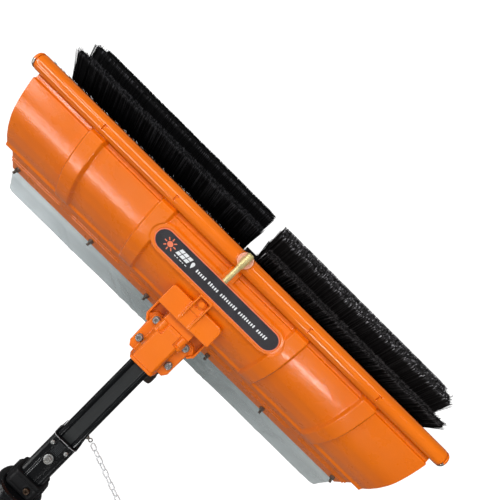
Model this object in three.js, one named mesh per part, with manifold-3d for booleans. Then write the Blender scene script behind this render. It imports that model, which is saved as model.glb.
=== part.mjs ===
// Rotating cleaning-brush head, belt-driven by a motor, on the end of a pole.
// Millimetres, +Z up. Shapes are drawn from the middle of the brush roller's axis: +X along the
// roller (the "right" side), +Y forward, away from the pole, which runs off along -Y.
// The finished group is moved so that its origin is the centre of the pole coupling's rear face.
import * as THREE from 'three';
import { mergeVertices } from 'three/addons/utils/BufferGeometryUtils.js';
import Module from 'manifold-3d';

const wasm = await Module();
wasm.setup();

// ---------------------------------------------------------------- materials
const ORANGE = 0xe8650f;
const BLACK = 0x121314;
const STEEL = 0xb9bcbf;

const MATERIALS = {
  cover: { color: ORANGE, roughness: 0.28 },
  tube: { color: ORANGE, roughness: 0.25 },
  tubePlug: { color: STEEL, roughness: 0.3, metalness: 0.9 },
  brass: { color: 0xc9a24a, roughness: 0.28, metalness: 1 },
  washer: { color: BLACK, roughness: 0.7 },
  label: { color: 0x2b2c30, roughness: 0.45 },
  housing: { color: ORANGE, roughness: 0.3 },
  paintedScrew: { color: ORANGE, roughness: 0.35 },
  driveCase: { color: BLACK, roughness: 0.5 },
  polishedSteel: { color: STEEL, roughness: 0.25, metalness: 1 },
  belt: { color: 0x1a1a1a, roughness: 0.8 },
  motor: { color: 0x6d7074, roughness: 0.35, metalness: 0.8 },
  dullSteel: { color: STEEL, roughness: 0.35, metalness: 0.9 },
  steel: { color: STEEL, roughness: 0.3, metalness: 1 },
  drivenPulley: { color: 0x8c8f93, roughness: 0.4, metalness: 0.8 },
  brushCore: { color: 0x1c1c1d, roughness: 0.6 },
  bristles: { color: 0x0d0d0e, roughness: 0.85 },
  bracket: { color: ORANGE, roughness: 0.32 },
  clampScrew: { color: STEEL, roughness: 0.28, metalness: 1 },
  apron: { color: 0x8f9896, roughness: 0.25 },
  pole: { color: 0x17191b, roughness: 0.35, metalness: 0.5 },
  eyelet: { color: 0x8a8580, roughness: 0.4, metalness: 0.9 },
  powerSocket: { color: 0x1d1714, roughness: 0.5 },
  lead: { color: BLACK, roughness: 0.6 },
  chain: { color: 0xc9ccce, roughness: 0.3, metalness: 1 },
  sleeve: { color: 0x0c0d0f, roughness: 0.12 },
  bush: { color: 0xa8a49c, roughness: 0.35, metalness: 1 },
  collar: { color: 0x131416, roughness: 0.4 },
  collarScrew: { color: 0x6f6259, roughness: 0.4, metalness: 0.9 },
  coupling: { color: 0x0e1013, roughness: 0.14 },
  lockPin: { color: STEEL, roughness: 0.2, metalness: 1 },
};

// ---------------------------------------------------------------- driving dimensions
const GAP = 0.3;                    // usual clearance between pieces
const SIDES = [[-1, 'left'], [1, 'right']];
const COVER = { half: 380, wall: 3 };
const RIB = { places: [-262, -128, 128, 262], baseHalf: 16, topHalf: 10.5, height: 6.5 };
const BEAD = { radius: 4.3, y: -114.9, z: 22.8 };
const TUBE = { y: 6.5, z: 108, radius: 12.5, bore: 9.8, half: 383.5 };
const TUBE_SLOTS = [-265, -128, 128, 265];
const BOSS = { radius: 11.7, top: 124, bore: 5.5 };
const ELBOW = { z: 131.4, radius: 5.4, tailRadius: 3.8, bore: 2.6 };
const LABEL = { length: 232, width: 30 };
const PAD = { length: 247, width: 45, rise: 4.2, y: -44, z: 94.1, tilt: 23.2 * Math.PI / 180 };
const BRISTLES = { radius: 93, bore: 30.6, rows: 14, inner: 11.6, outer: 376 };
const ROW_PHASE = { left: 80, right: 25 };            // degrees from +Y towards +Z
const CORE = { radius: 30, bore: 8.3, inner: 12, outer: 374, wall: 3, endWall: 8 };
const SHAFT_RADIUS = 8;
const MOTOR = { y: -101.5, z: 57, radius: 12.5, shaftHole: 3.6 };
const PULLEY = { radius: 21.6, toothDepth: 0.8, points: 46 };
const PINION = { radius: 8.2, toothDepth: 0.7, points: 36 };
const BELT = { thickness: 2, gap: 0.3, half: 5 };
const CASE = { half: 10, rollerRadius: 27.5, motorRadius: 14, wall: 2 };
const HOUSING = { half: 49, rear: -119, front: -84.5, top: 76, wall: 3, screwY: -78.5 };
const TONGUE = { half: 10.2, wall: 3, front: -67.2, top: 90.5 };
const POLE_Z = 42;
const POLE_SPAN = [-496, -136];
const PLATE = { bottom: 20, top: 30, flangeTop: 36 };
const LUG = { places: [-19.5, 19.5], z: 52, radius: 6.2, tipRadius: 4.2 };
const CLAMP_SCREWS = [[-30.5, -148.5], [30.5, -148.5], [-30.5, -185], [30.5, -185]];   // x, y
const APRON_BOLTS = [-366, -199, -71, 71, 199, 366];
const EYELET = { x: 25.5, y: -344 };
const SLEEVE = { rear: -462, front: -363 };
const RIVETS = { places: [-13, 13], y: -375 };
const PIN_Y = -397;
const COLLAR = { rear: -460.7, front: -436, screwX: 10, screwY: -450 };
const COUPLING = { rear: -540, front: -461, radius: 38 };

// ---------------------------------------------------------------- solids
function toSolid(geometry) {
  geometry.deleteAttribute('normal');
  geometry.deleteAttribute('uv');
  const merged = mergeVertices(geometry, 1e-4);
  return new wasm.Manifold(new wasm.Mesh({
    numProp: 3,
    vertProperties: new Float32Array(merged.attributes.position.array),
    triVerts: new Uint32Array(merged.index.array),
  }));
}

function toGeometry(solid) {
  const mesh = solid.getMesh();
  const geometry = new THREE.BufferGeometry();
  const positions = new Float32Array(mesh.vertProperties);
  geometry.setAttribute('position', new THREE.BufferAttribute(positions, 3));
  geometry.setIndex(new THREE.BufferAttribute(new Uint32Array(mesh.triVerts), 1));
  geometry.computeVertexNormals();
  return geometry;
}

function put(parent, name, solid, material) {
  const mesh = new THREE.Mesh(toGeometry(solid), new THREE.MeshStandardMaterial(material));
  mesh.name = name;
  parent.add(mesh);
  return mesh;
}

const fuse = (...parts) => parts.reduce((whole, part) => whole.add(part));
const carve = (body, ...cutters) => cutters.reduce((rest, cutter) => rest.subtract(cutter), body);

// each argument is the [low, high] span on one axis
function box(...spans) {
  const sizes = spans.map(([low, high]) => high - low);
  const middles = spans.map(([low, high]) => (low + high) / 2);
  return toSolid(new THREE.BoxGeometry(...sizes).translate(...middles));
}

// Rods along each axis; a cone frustum where endRadius, at the high end, is given.
function rodX(radius, y, z, from, to, segments, endRadius = radius) {
  const geometry = new THREE.CylinderGeometry(endRadius, radius, to - from, segments);
  return toSolid(geometry.rotateZ(-Math.PI / 2).translate((from + to) / 2, y, z));
}
function rodY(radius, x, z, from, to, segments, endRadius = radius) {
  const geometry = new THREE.CylinderGeometry(endRadius, radius, to - from, segments);
  return toSolid(geometry.translate(x, (from + to) / 2, z));
}
function rodZ(radius, x, y, from, to, segments, endRadius = radius) {
  const geometry = new THREE.CylinderGeometry(endRadius, radius, to - from, segments);
  return toSolid(geometry.rotateX(Math.PI / 2).translate(x, y, (from + to) / 2));
}

const toShape = (outline) => new THREE.Shape(outline.map((point) => new THREE.Vector2(...point)));
const extruded = (outline, depth) =>
  new THREE.ExtrudeGeometry(toShape(outline), { depth, bevelEnabled: false, steps: 1 });

const frame = (...axes) =>
  new THREE.Matrix4().makeBasis(...axes.map((axis) => new THREE.Vector3(...axis)));
const PUSH_X = frame([0, 1, 0], [0, 0, 1], [1, 0, 0]);
const PUSH_Y = frame([1, 0, 0], [0, 0, 1], [0, -1, 0]);

// Prisms: a (y, z), (x, z) or (x, y) outline pushed along the remaining axis.
function prismX(outline, from, to, hole) {
  const body = toSolid(extruded(outline, to - from).applyMatrix4(PUSH_X).translate(from, 0, 0));
  return hole ? body.subtract(prismX(hole, from - 1, to + 1)) : body;
}
function prismY(outline, from, to, hole) {
  const body = toSolid(extruded(outline, to - from).applyMatrix4(PUSH_Y).translate(0, to, 0));
  return hole ? body.subtract(prismY(hole, from - 1, to + 1)) : body;
}
function prismZ(outline, from, to, hole) {
  const body = toSolid(extruded(outline, to - from).translate(0, 0, from));
  return hole ? body.subtract(prismZ(hole, from - 1, to + 1)) : body;
}

// Turned shapes: a profile of [radius, place on the axis], places rising.
function lathe(profile, segments) {
  return new THREE.LatheGeometry(profile.map((point) => new THREE.Vector2(...point)), segments);
}
function latheX(profile, y, z, segments) {
  return toSolid(lathe(profile, segments).rotateZ(-Math.PI / 2).translate(0, y, z));
}
function latheY(profile, x, z, segments) {
  return toSolid(lathe(profile, segments).translate(x, 0, z));
}
function latheZ(profile, x, y, segments) {
  return toSolid(lathe(profile, segments).rotateX(Math.PI / 2).translate(x, y, 0));
}

// a closed skin over (y, z) outlines of equal point count at rising x;
// outlines run anticlockwise, and the first and last are alike
function loftX(stations) {
  const first = stations[0].outline;
  const count = first.length;
  const positions = stations.flatMap(({ x, outline }) => outline.flatMap(([y, z]) => [x, y, z]));
  const indices = [];
  for (let k = 0; k + 1 < stations.length; k++) {
    for (let i = 0; i < count; i++) {
      const near = k * count + i;
      const nearNext = k * count + (i + 1) % count;
      indices.push(near, nearNext, nearNext + count, near, nearNext + count, near + count);
    }
  }
  const last = (stations.length - 1) * count;
  const corners = first.map((point) => new THREE.Vector2(...point));
  for (const [i, j, k] of THREE.ShapeUtils.triangulateShape(corners, [])) {
    indices.push(i, k, j, last + i, last + j, last + k);
  }
  const geometry = new THREE.BufferGeometry();
  geometry.setAttribute('position', new THREE.BufferAttribute(new Float32Array(positions), 3));
  geometry.setIndex(indices);
  return toSolid(geometry);
}

function tubeAlong(points, radius, segments, steps) {
  const places = points.map((point) => new THREE.Vector3(...point));
  const extrudePath = new THREE.CatmullRomCurve3(places, false, 'centripetal');
  const options = { steps, extrudePath, bevelEnabled: false };
  return toSolid(new THREE.ExtrudeGeometry(toShape(ring(radius, segments)), options));
}

// ---------------------------------------------------------------- outlines
function arc(centreX, centreY, radius, start, sweep, steps) {
  return Array.from({ length: steps + 1 }, (_, i) => {
    const angle = start + sweep * i / steps;
    return [centreX + radius * Math.cos(angle), centreY + radius * Math.sin(angle)];
  });
}

const ring = (radius, count) => arc(0, 0, radius, 0, 2 * Math.PI, count).slice(0, -1);

function roundedRect(half, low, high, radius, steps) {
  const side = half - radius;
  const corners = [[side, low + radius], [side, high - radius],
    [-side, high - radius], [-side, low + radius]];
  return corners.flatMap(([x, y], i) =>
    arc(x, y, radius, (i - 1) * Math.PI / 2, Math.PI / 2, steps));
}

function stadium(length, width, steps) {
  const radius = width / 2;
  const half = length / 2 - radius;
  return [
    ...arc(half, 0, radius, -Math.PI / 2, Math.PI, steps),
    ...arc(-half, 0, radius, Math.PI / 2, Math.PI, steps),
  ];
}

// circles round the roller and motor axes, with their outer tangents
function twoCircles(rollerRadius, motorRadius, steps = 14) {
  const distance = Math.hypot(MOTOR.y, MOTOR.z);
  const towards = Math.atan2(MOTOR.z, MOTOR.y);
  const open = Math.acos((rollerRadius - motorRadius) / distance);
  return [
    ...arc(MOTOR.y, MOTOR.z, motorRadius, towards - open, 2 * open, steps),
    ...arc(0, 0, rollerRadius, towards + open, 2 * Math.PI - 2 * open, steps + 6),
  ];
}

// every other point of a circle sunk by the tooth depth
function toothed({ radius, toothDepth, points }) {
  return ring(1, points).map(([y, z], i) => {
    const reach = i % 2 ? radius : radius - toothDepth;
    return [reach * y, reach * z];
  });
}

// an open line moved outwards, for a line running front to back over the top
function offsetLine(line, distance) {
  return line.map(([y, z], i) => {
    const before = line[Math.max(0, i - 1)];
    const after = line[Math.min(line.length - 1, i + 1)];
    const stepY = after[0] - before[0];
    const stepZ = after[1] - before[1];
    const length = Math.hypot(stepY, stepZ);
    return [y + stepZ / length * distance, z - stepY / length * distance];
  });
}

// the strip between two offsets of a line, over its first count points
function band(line, inner, outer, count = line.length) {
  return [
    ...offsetLine(line, outer).slice(0, count),
    ...offsetLine(line, inner).slice(0, count).reverse(),
  ];
}

// a closed clockwise outline grown by distance, mitred at its corners
function grown(outline, distance) {
  const count = outline.length;
  const normal = (start, end) => {
    const length = Math.hypot(end[0] - start[0], end[1] - start[1]);
    return [(start[1] - end[1]) / length, (end[0] - start[0]) / length];
  };
  return outline.map((point, i) => {
    const before = normal(outline[(i + count - 1) % count], point);
    const after = normal(point, outline[(i + 1) % count]);
    const cosine = before[0] * after[0] + before[1] * after[1];
    const push = distance / Math.max(0.35, (1 + cosine) / 2) / 2;
    return [point[0] + (before[0] + after[0]) * push, point[1] + (before[1] + after[1]) * push];
  });
}

const flipped = (outline, side) => outline.map(([x, y]) => [side * x, y]);
const mirrored = (half) => [...half, ...flipped(half, -1).reverse()];
const atPole = (outline) => outline.map(([x, z]) => [x, z + POLE_Z]);
// the x span between two distances from the middle, on one side
const onSide = (side, near, far) => (side < 0 ? [-far, -near] : [near, far]);

// ---------------------------------------------------------------- cover section
// [y, z] along the outer face, front to back
const ARC = [
  [-10.8, 105.5], [-16, 104.4], [-23, 102.3], [-31, 99.4], [-42, 95.1], [-52, 90.4],
  [-60.5, 86], [-68.6, 81], [-76.6, 75], [-84, 68], [-92, 60], [-99, 51.4],
  [-105.8, 42.7], [-111.6, 33.4], [-114.6, 26.8], [-115.6, 20],
];
const SKIRT = [[-118.6, 8], [-123.8, -3.2], [-130, -14], [-141.8, -32.9], [-153.5, -51.7]];
const SECTION = [...ARC, ...SKIRT];

// the skirt's flat lower part, as [y, z] directions
const SKIRT_START = SKIRT[2];
const SKIRT_DOWN = [-0.529, -0.849];
const SKIRT_OUT = [-0.849, 0.529];
const atSkirt = (down, out) =>
  SKIRT_START.map((start, i) => start + SKIRT_DOWN[i] * down + SKIRT_OUT[i] * out);
const BOLT_LINE = atSkirt(30, 0);

// a rod square to the skirt on the bolt line; from and to are measured outwards
function skirtRod(radius, x, from, to, segments, turn = 0) {
  const geometry = new THREE.CylinderGeometry(radius, radius, to - from, segments);
  geometry.rotateX(Math.PI / 2).rotateZ(turn).translate(0, 0, (from + to) / 2);
  geometry.rotateX(Math.atan2(-SKIRT_OUT[0], SKIRT_OUT[1])).translate(x, ...BOLT_LINE);
  return toSolid(geometry);
}
const boltHoles = (from) => APRON_BOLTS.map((x) => skirtRod(2.8, x, from, 8, 10));

// everything inside the cover's outer face, grown by a distance
function insideCover(distance) {
  const outline = [[40, 106 + distance], ...offsetLine(SECTION, distance), [-150, -60], [40, -60]];
  return prismX(outline, -COVER.half - 5, COVER.half + 5);
}

const bead = (half, gap = 0) => rodX(BEAD.radius + gap, BEAD.y, BEAD.z, -half, half, 14);
const housingScrewHole = () => rodZ(3.3, 0, HOUSING.screwY, 60, 90, 12);

function caseSpace(gap, sideGap) {
  const outline = twoCircles(CASE.rollerRadius + gap, CASE.motorRadius + gap);
  return prismX(outline, -CASE.half - sideGap, CASE.half + sideGap);
}

// a stadium square to the label pad; from and to are heights above the pad's base point
function padPlate(length, width, steps, from, to) {
  const geometry = extruded(stadium(length, width, steps), to - from).translate(0, 0, from);
  return toSolid(geometry.rotateX(PAD.tilt).translate(0, PAD.y, PAD.z));
}

// ---------------------------------------------------------------- cover
// [y, z] outlines
const FRONT_LIP = [
  [-7.5, 98.8], [-7.5, 104.2], [-9.2, 105.8], [-13, 105.4], [-14, 102], [-10.5, 101.5],
  [-10.5, 98.8],
];
const SADDLE = [[-9, 99.2], [-9, 104.4], [-5, 106], [-1, 100], [0.5, 97.3], [-3, 96.6]];
const BRIDGE = [[-7.6, 100], [-7.6, 107.6], [-11, 110], [-22, 106.8], [-30, 102], [-30, 98]];
const HEM = { inset: 0.6, width: 5 };

function coverRib(middle) {
  const station = (x, height) =>
    ({ x: middle + x, outline: band(SECTION, -1.5, height, ARC.length - 1) });
  return loftX([
    station(-RIB.baseHalf, -0.4), station(-RIB.topHalf, RIB.height),
    station(RIB.topHalf, RIB.height), station(RIB.baseHalf, -0.4),
  ]);
}

function skirtRidge(down) {
  const end = down + 2.2;
  const outline = [atSkirt(down, -1), atSkirt(end, -1), atSkirt(end, 1.5), atSkirt(down, 1.5)];
  return prismX(outline, -COVER.half + 4, COVER.half - 4);
}

function coverShell() {
  const hemOuter = COVER.half - HEM.inset;
  const body = fuse(
    prismX(band(SECTION, -COVER.wall, 0), -COVER.half, COVER.half),
    prismX(FRONT_LIP, -COVER.half, COVER.half),
    bead(COVER.half - 1.5),
    // each rib has a saddle that carries the spray tube
    ...RIB.places.flatMap((x) => [coverRib(x), prismX(SADDLE, x - 6, x + 6)]),
    // hems inside both open ends
    ...SIDES.map(([side]) => prismX(
      band(SECTION, -4.8, -1.2, ARC.length),
      ...onSide(side, hemOuter - HEM.width, hemOuter),
    )),
    padPlate(PAD.length, PAD.width, 12, -8, PAD.rise).subtract(insideCover(-1.6)),
    // under the inlet elbow
    prismX(BRIDGE, -9.5, 9.5),
    skirtRidge(9),
    skirtRidge(17),
  );
  return carve(
    body,
    // label pocket
    padPlate(LABEL.length + 0.6, LABEL.width + 0.6, 12, PAD.rise - 0.9, PAD.rise + 2.1),
    rodX(TUBE.radius + GAP, TUBE.y, TUBE.z, -COVER.half - 5, COVER.half + 5, 36),
    // motor window
    box([-45, 45], [-114, -86], [34, 80]),
    caseSpace(0.8, 0.6),
    housingScrewHole(),
    ...boltHoles(-8),
  );
}

const head = new THREE.Group();
put(head, 'cover_shell', coverShell(), MATERIALS.cover);

// ---------------------------------------------------------------- spray tube, plugs, inlet
const SPRAY = { pitch: 70, perSide: 5, slant: 0.7 };

// a hole through the tube's wall, slanting down and back from its axis
function sprayHole(x) {
  const geometry = new THREE.CylinderGeometry(1, 1, 8, 5).translate(0, -12, 0);
  return toSolid(geometry.rotateX(SPRAY.slant).translate(x, TUBE.y, TUBE.z));
}

function sprayTube() {
  const holes = [];
  for (let i = 1; i <= SPRAY.perSide; i++) {
    holes.push(sprayHole(-i * SPRAY.pitch), sprayHole(i * SPRAY.pitch));
  }
  return carve(
    fuse(
      rodX(TUBE.radius, TUBE.y, TUBE.z, -TUBE.half, TUBE.half, 28),
      rodZ(BOSS.radius, 0, TUBE.y, TUBE.z, BOSS.top, 24),
    ),
    rodX(TUBE.bore, TUBE.y, TUBE.z, -TUBE.half - 1, TUBE.half + 1, 20),
    rodZ(BOSS.bore, 0, TUBE.y, TUBE.z, BOSS.top + 1, 16),
    ...TUBE_SLOTS.map((x) =>
      box([x - 4, x + 4], [TUBE.y - 6.5, TUBE.y - 0.5], [TUBE.z + 9.9, TUBE.z + 14])),
    ...holes,
  );
}

// drawn pointing along +Y, then turned outwards on its side
function tubePlug(side) {
  const profile = [[0, 0.3], [12.3, 0.3], [12.3, 2.4], [10.8, 4.9], [7, 6.3], [0, 6.4]];
  const plug = carve(
    fuse(latheY(profile, 0, 0, 20), rodY(TUBE.bore - GAP - 0.1, 0, 0, -13, 1, 16)),
    rodY(3.2, 0, 0, 4, 8, 6),
  );
  return plug.rotate([0, 0, -90 * side]).translate([side * TUBE.half, TUBE.y, TUBE.z]);
}

function inletElbow() {
  const { radius, tailRadius, bore, z } = ELBOW;
  const nose = [[0, -4.5], [radius, -4.5], [radius, 13.6], [4.6, 16.2], [2.6, 17.8], [0, 18.2]];
  return carve(
    fuse(
      rodZ(5, 0, TUBE.y, 114, z, 14),
      rodZ(7.2, 0, TUBE.y, BOSS.top + 2.1, BOSS.top + 4, 6),
      latheY(nose, 0, z, 18),
      latheY([[0, -33], [tailRadius, -33], [tailRadius, -4], [0, -4]], 0, z, 14),
    ),
    rodY(bore, 0, z, -34, 8, 10),
    rodZ(bore, 0, TUBE.y, 113, z, 10),
  );
}

function inletWasher() {
  const disc = rodZ(8.2, 0, TUBE.y, BOSS.top + 0.3, BOSS.top + 1.8, 18);
  return disc.subtract(rodZ(5.4, 0, TUBE.y, 120, 130, 14));
}

put(head, 'spray_tube', sprayTube(), MATERIALS.tube);
for (const [side, name] of SIDES) {
  put(head, `tube_plug_${name}`, tubePlug(side), MATERIALS.tubePlug);
}
put(head, 'inlet_elbow', inletElbow(), MATERIALS.brass);
put(head, 'inlet_washer', inletWasher(), MATERIALS.washer);
const labelPlate = padPlate(LABEL.length, LABEL.width, 14, PAD.rise - 0.6, PAD.rise + 0.5);
put(head, 'label_plate', labelPlate, MATERIALS.label);

// ---------------------------------------------------------------- drive housing
// [x, y, z] along the motor lead: up through the bracket, then into the housing
const LEAD_BEND = [
  [20, -142, 16.4], [20, -136, 17.4], [19.4, -131.5, 23],
  [18.8, -129, 31], [18.2, -126.6, 40], [18, -123, 45],
];
const LEAD_END = [[18, -124.6, 44.2], [18, -114.6, 47.6], [18, -108, 49.8]];
const LEAD = { radius: 2.4, channelRadius: 3.3 };

const leadEndChannel = () => tubeAlong(LEAD_END, LEAD.channelRadius, 8, 5);

function driveHousing() {
  const { half, rear, front, top, wall } = HOUSING;
  const gusset = [
    [-117, 70], [-117, top + 0.4], [TONGUE.front - 2, TONGUE.top], [TONGUE.front, TONGUE.top],
    [TONGUE.front, 70],
  ];
  const edge = TONGUE.wall / 2;
  return carve(
    fuse(
      prismZ(roundedRect(half, rear, front, 6, 3), 31, top),
      // middle tongue with a gusset on each side and a raised front wall
      box([-TONGUE.half - edge, TONGUE.half + edge], [front - 6, TONGUE.front], [60, 79]),
      ...[-TONGUE.half, TONGUE.half].map((x) => prismX(gusset, x - edge, x + edge)),
      box([-TONGUE.half, TONGUE.half], [TONGUE.front - 2.4, TONGUE.front], [70, TONGUE.top]),
      rodZ(7.4, 0, HOUSING.screwY, 74, 80.2, 20),
    ),
    box([-half + wall, half - wall], [rear + wall, front - wall], [20, top - wall]),
    caseSpace(0.5, 0.5),
    insideCover(GAP + 0.1),
    bead(COVER.half, GAP),
    housingScrewHole(),
    leadEndChannel(),
  );
}

function housingScrew() {
  const screwHead = [[0, 80.5], [5, 80.5], [5, 83.4], [4, 84.4], [0, 84.4]];
  return fuse(
    latheZ(screwHead, 0, HOUSING.screwY, 20),
    rodZ(2.9, 0, HOUSING.screwY, 66.5, 81, 12),
  );
}

put(head, 'drive_housing', driveHousing(), MATERIALS.housing);
put(head, 'housing_screw', housingScrew(), MATERIALS.paintedScrew);

// ---------------------------------------------------------------- belt drive
const BEARING = { bore: 8.4, radius: 13.5, inner: 5.9, outer: 9.9 };

function driveCase(side) {
  const outer = twoCircles(CASE.rollerRadius, CASE.motorRadius, 9);
  const inner = twoCircles(CASE.rollerRadius - 2.3, CASE.motorRadius - 1.8, 8);
  // the hollow leaves a seat round the bearing
  const hollow = prismX(inner, ...onSide(side, 0, CASE.half - CASE.wall))
    .subtract(rodX(16.5, 0, 0, ...onSide(side, 5.6, 12), 16));
  // on the left the motor's hole is blind
  const holeEnd = side < 0 ? 8.5 : 11;
  return carve(
    prismX(outer, ...onSide(side, 0.15, CASE.half)),
    hollow,
    rodX(14.1, 0, 0, ...onSide(side, 5, 11), 20),
    rodX(MOTOR.shaftHole, MOTOR.y, MOTOR.z, ...onSide(side, 5, holeEnd), 10),
  );
}

function bearing(side) {
  const { bore, radius, inner, outer } = BEARING;
  const [from, to] = onSide(side, inner, outer);
  return latheX([[bore, from], [radius, from], [radius, to], [bore, to], [bore, from]], 0, 0, 20);
}

function driveBelt() {
  const loop = (rise) => twoCircles(PULLEY.radius + rise, PINION.radius + rise, 11);
  return prismX(loop(BELT.gap + BELT.thickness), -BELT.half, BELT.half, loop(BELT.gap));
}

function gearMotor() {
  const { radius, shaftHole, y, z } = MOTOR;
  const profile = [
    [0, 10.4], [10.5, 10.4], [radius, 12], [radius, 42.5], [11, 44], [0, 44],
  ];
  return latheX(profile, y, z, 20).subtract(rodX(shaftHole, y, z, 8, 22, 12));
}

for (const [side, name] of SIDES) {
  put(head, `drive_case_${name}`, driveCase(side), MATERIALS.driveCase);
}
for (const [side, name] of SIDES) {
  put(head, `bearing_${name}`, bearing(side), MATERIALS.polishedSteel);
}
put(head, 'drive_belt', driveBelt(), MATERIALS.belt);
put(head, 'gear_motor', gearMotor(), MATERIALS.motor);

// drawn about its own axis, then set at the motor's place
const rotor = new THREE.Group();
const motorPulley = fuse(
  rodX(3, 0, 0, -5.5, 20.5, 12),
  prismX(toothed(PINION), -BELT.half, BELT.half),
);
put(rotor, 'motor_pulley', motorPulley, MATERIALS.dullSteel);
rotor.position.set(0, MOTOR.y, MOTOR.z);
head.add(rotor);

// ---------------------------------------------------------------- brush roller
const SHAFT_PROFILE = [
  [0, -388], [5.6, -388], [6, -387.4], [6, -377], [SHAFT_RADIUS, -377],
  [SHAFT_RADIUS, 377], [6, 377], [6, 387.4], [5.6, 388], [0, 388],
];

function brushCore(side) {
  const { radius, bore, inner, outer, wall, endWall } = CORE;
  const profile = [
    [bore, inner], [radius, inner], [radius, outer], [bore, outer], [bore, outer - endWall],
    [radius - wall, outer - endWall], [radius - wall, inner + endWall],
    [bore, inner + endWall], [bore, inner],
  ].map(([reach, x]) => [reach, side * x]);
  return latheX(side < 0 ? profile.reverse() : profile, 0, 0, 20);
}

// bristle rows as solid blades that widen towards their tips
function bristles(side, phase) {
  const { radius, bore, rows, inner, outer } = BRISTLES;
  const blade = [[38, -5.2], [radius - 1, -8.5], [radius, 0], [radius - 1, 8.5], [38, 5.2]];
  const star = [];
  for (let k = 0; k < rows; k++) {
    const angle = phase * Math.PI / 180 + k * 2 * Math.PI / rows;
    const cos = Math.cos(angle);
    const sin = Math.sin(angle);
    star.push(...blade.map(([out, across]) =>
      [out * cos - across * sin, out * sin + across * cos]));
    const valley = angle + Math.PI / rows;
    star.push([36 * Math.cos(valley), 36 * Math.sin(valley)]);
  }
  return prismX(star, ...onSide(side, inner, outer), ring(bore, 20));
}

const roller = new THREE.Group();
put(roller, 'roller_shaft', latheX(SHAFT_PROFILE, 0, 0, 16), MATERIALS.steel);
const drivenPulley = prismX(
  toothed(PULLEY), -BELT.half, BELT.half, ring(SHAFT_RADIUS + GAP + 0.1, 18),
);
put(roller, 'driven_pulley', drivenPulley, MATERIALS.drivenPulley);
for (const [side, name] of SIDES) {
  const nut = prismX(ring(11.5, 6), ...onSide(side, 377.4, 383.6), ring(6.4, 14));
  put(roller, `brush_core_${name}`, brushCore(side), MATERIALS.brushCore);
  put(roller, `bristles_${name}`, bristles(side, ROW_PHASE[name]), MATERIALS.bristles);
  put(roller, `shaft_nut_${name}`, nut, MATERIALS.steel);
}
head.add(roller);

// ---------------------------------------------------------------- pole bracket and clamp
// [x, z] down the +X half of the pole's outside and inside, from the pole's centre
const POLE_OUTSIDE = mirrored([
  [8.6, 10.2], [9.6, 10.9], [10.6, 13.6], [11.8, 14.8], [13.6, 15], [15.8, 14.4], [17.4, 12.7],
  [18, 10.4], [18, -11], [17.1, -13.7], [14.6, -15],
]);
const POLE_INSIDE = mirrored([
  [9.4, 8], [11.6, 12.4], [13.8, 12.8], [15.6, 11.4], [15.8, 9], [15.8, -10], [14, -12.8],
]);
const poleSpace = (gap, from, to) => prismY(atPole(grown(POLE_OUTSIDE, gap)), from, to);

// [x, y] outlines; rim and well are those of the +X side
const BRACKET_PLATE = mirrored([
  [50, -122.5], [50, -151], [40, -162], [39, -197], [33.5, -204.5],
]);
const BRACKET_RIM = [
  [50, -122.5], [50, -151], [42.6, -159.8], [40.2, -157.6], [46.5, -149.5], [46.5, -122.5],
];
const BRACKET_WELL = [[27, -125], [46.5, -125], [46.5, -148.5], [38.5, -140], [27, -138.5]];
const CAP_FLANGE = mirrored([[30, -140.2], [38.5, -144], [39, -197], [33.5, -204.5]]);
// [x, z] outlines
const CAP_ARCH = mirrored([[17, 62.4], [19.6, 60.4], [23.4, 44], [24, PLATE.flangeTop - 2]]);
const CAP_REAR_RIM = mirrored([[17.6, 64.2], [21, 61.6], [25.2, 44], [25.6, 33]]);

// round lug of the bracket that hooks into the clamp cap
function lug(x, shoulder, tip, gap = 0) {
  const radius = LUG.radius + gap;
  return fuse(
    rodY(radius, x, LUG.z, shoulder, -130, 18),
    rodY(LUG.tipRadius + gap, x, LUG.z, tip, shoulder, 18, radius),
  );
}
const clampHoles = () => CLAMP_SCREWS.map(([x, y]) => rodZ(3.4, x, y, 10, 40, 10));

function poleBracket() {
  const { bottom, top, flangeTop } = PLATE;
  return carve(
    fuse(
      prismZ(BRACKET_PLATE, bottom, top),
      ...SIDES.map(([side]) => prismZ(flipped(BRACKET_RIM, side), bottom, flangeTop)),
      // cross bar against the housing
      prismZ(roundedRect(25, -134.5, -119.3, 2.5, 3), bottom, 60),
      ...LUG.places.map((x) => lug(x, -150, -152.5)),
    ),
    ...SIDES.map(([side]) => prismZ(flipped(BRACKET_WELL, side), bottom + 3, top + 1)),
    poleSpace(GAP, -210, -134.4),
    ...clampHoles(),
    insideCover(GAP + 0.3),
    bead(COVER.half, GAP + 0.3),
    tubeAlong(LEAD_BEND, LEAD.channelRadius, 8, 8),
    leadEndChannel(),
  );
}

function clampCap() {
  return carve(
    fuse(
      prismY(CAP_ARCH, -205, -139.6),
      prismZ(CAP_FLANGE, PLATE.top + GAP, PLATE.flangeTop),
      prismY(CAP_REAR_RIM, -208.5, -203.8),
    ),
    poleSpace(GAP, -212, -130),
    box([-18 - GAP, 18 + GAP], [-212, -130], [24, 45]),
    ...LUG.places.map((x) => lug(x, -150.4, -153, 0.5)),
    ...clampHoles(),
  );
}

function clampScrew(x, y) {
  const seat = PLATE.flangeTop;
  const profile = [
    [0, 14], [2.9, 14], [2.9, seat + GAP], [6.3, seat + GAP], [6.3, seat + 1.5],
    [5.2, seat + 1.5], [5.2, seat + 6.6], [4.7, seat + 7.2], [0, seat + 7.2],
  ];
  return latheZ(profile, x, y, 14).subtract(rodZ(2.6, x, y, seat + 4, seat + 8, 6));
}

put(head, 'pole_bracket', poleBracket(), MATERIALS.bracket);
put(head, 'clamp_cap', clampCap(), MATERIALS.housing);
CLAMP_SCREWS.forEach(([x, y], i) => {
  put(head, `clamp_screw_${i + 1}`, clampScrew(x, y), MATERIALS.clampScrew);
});

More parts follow.
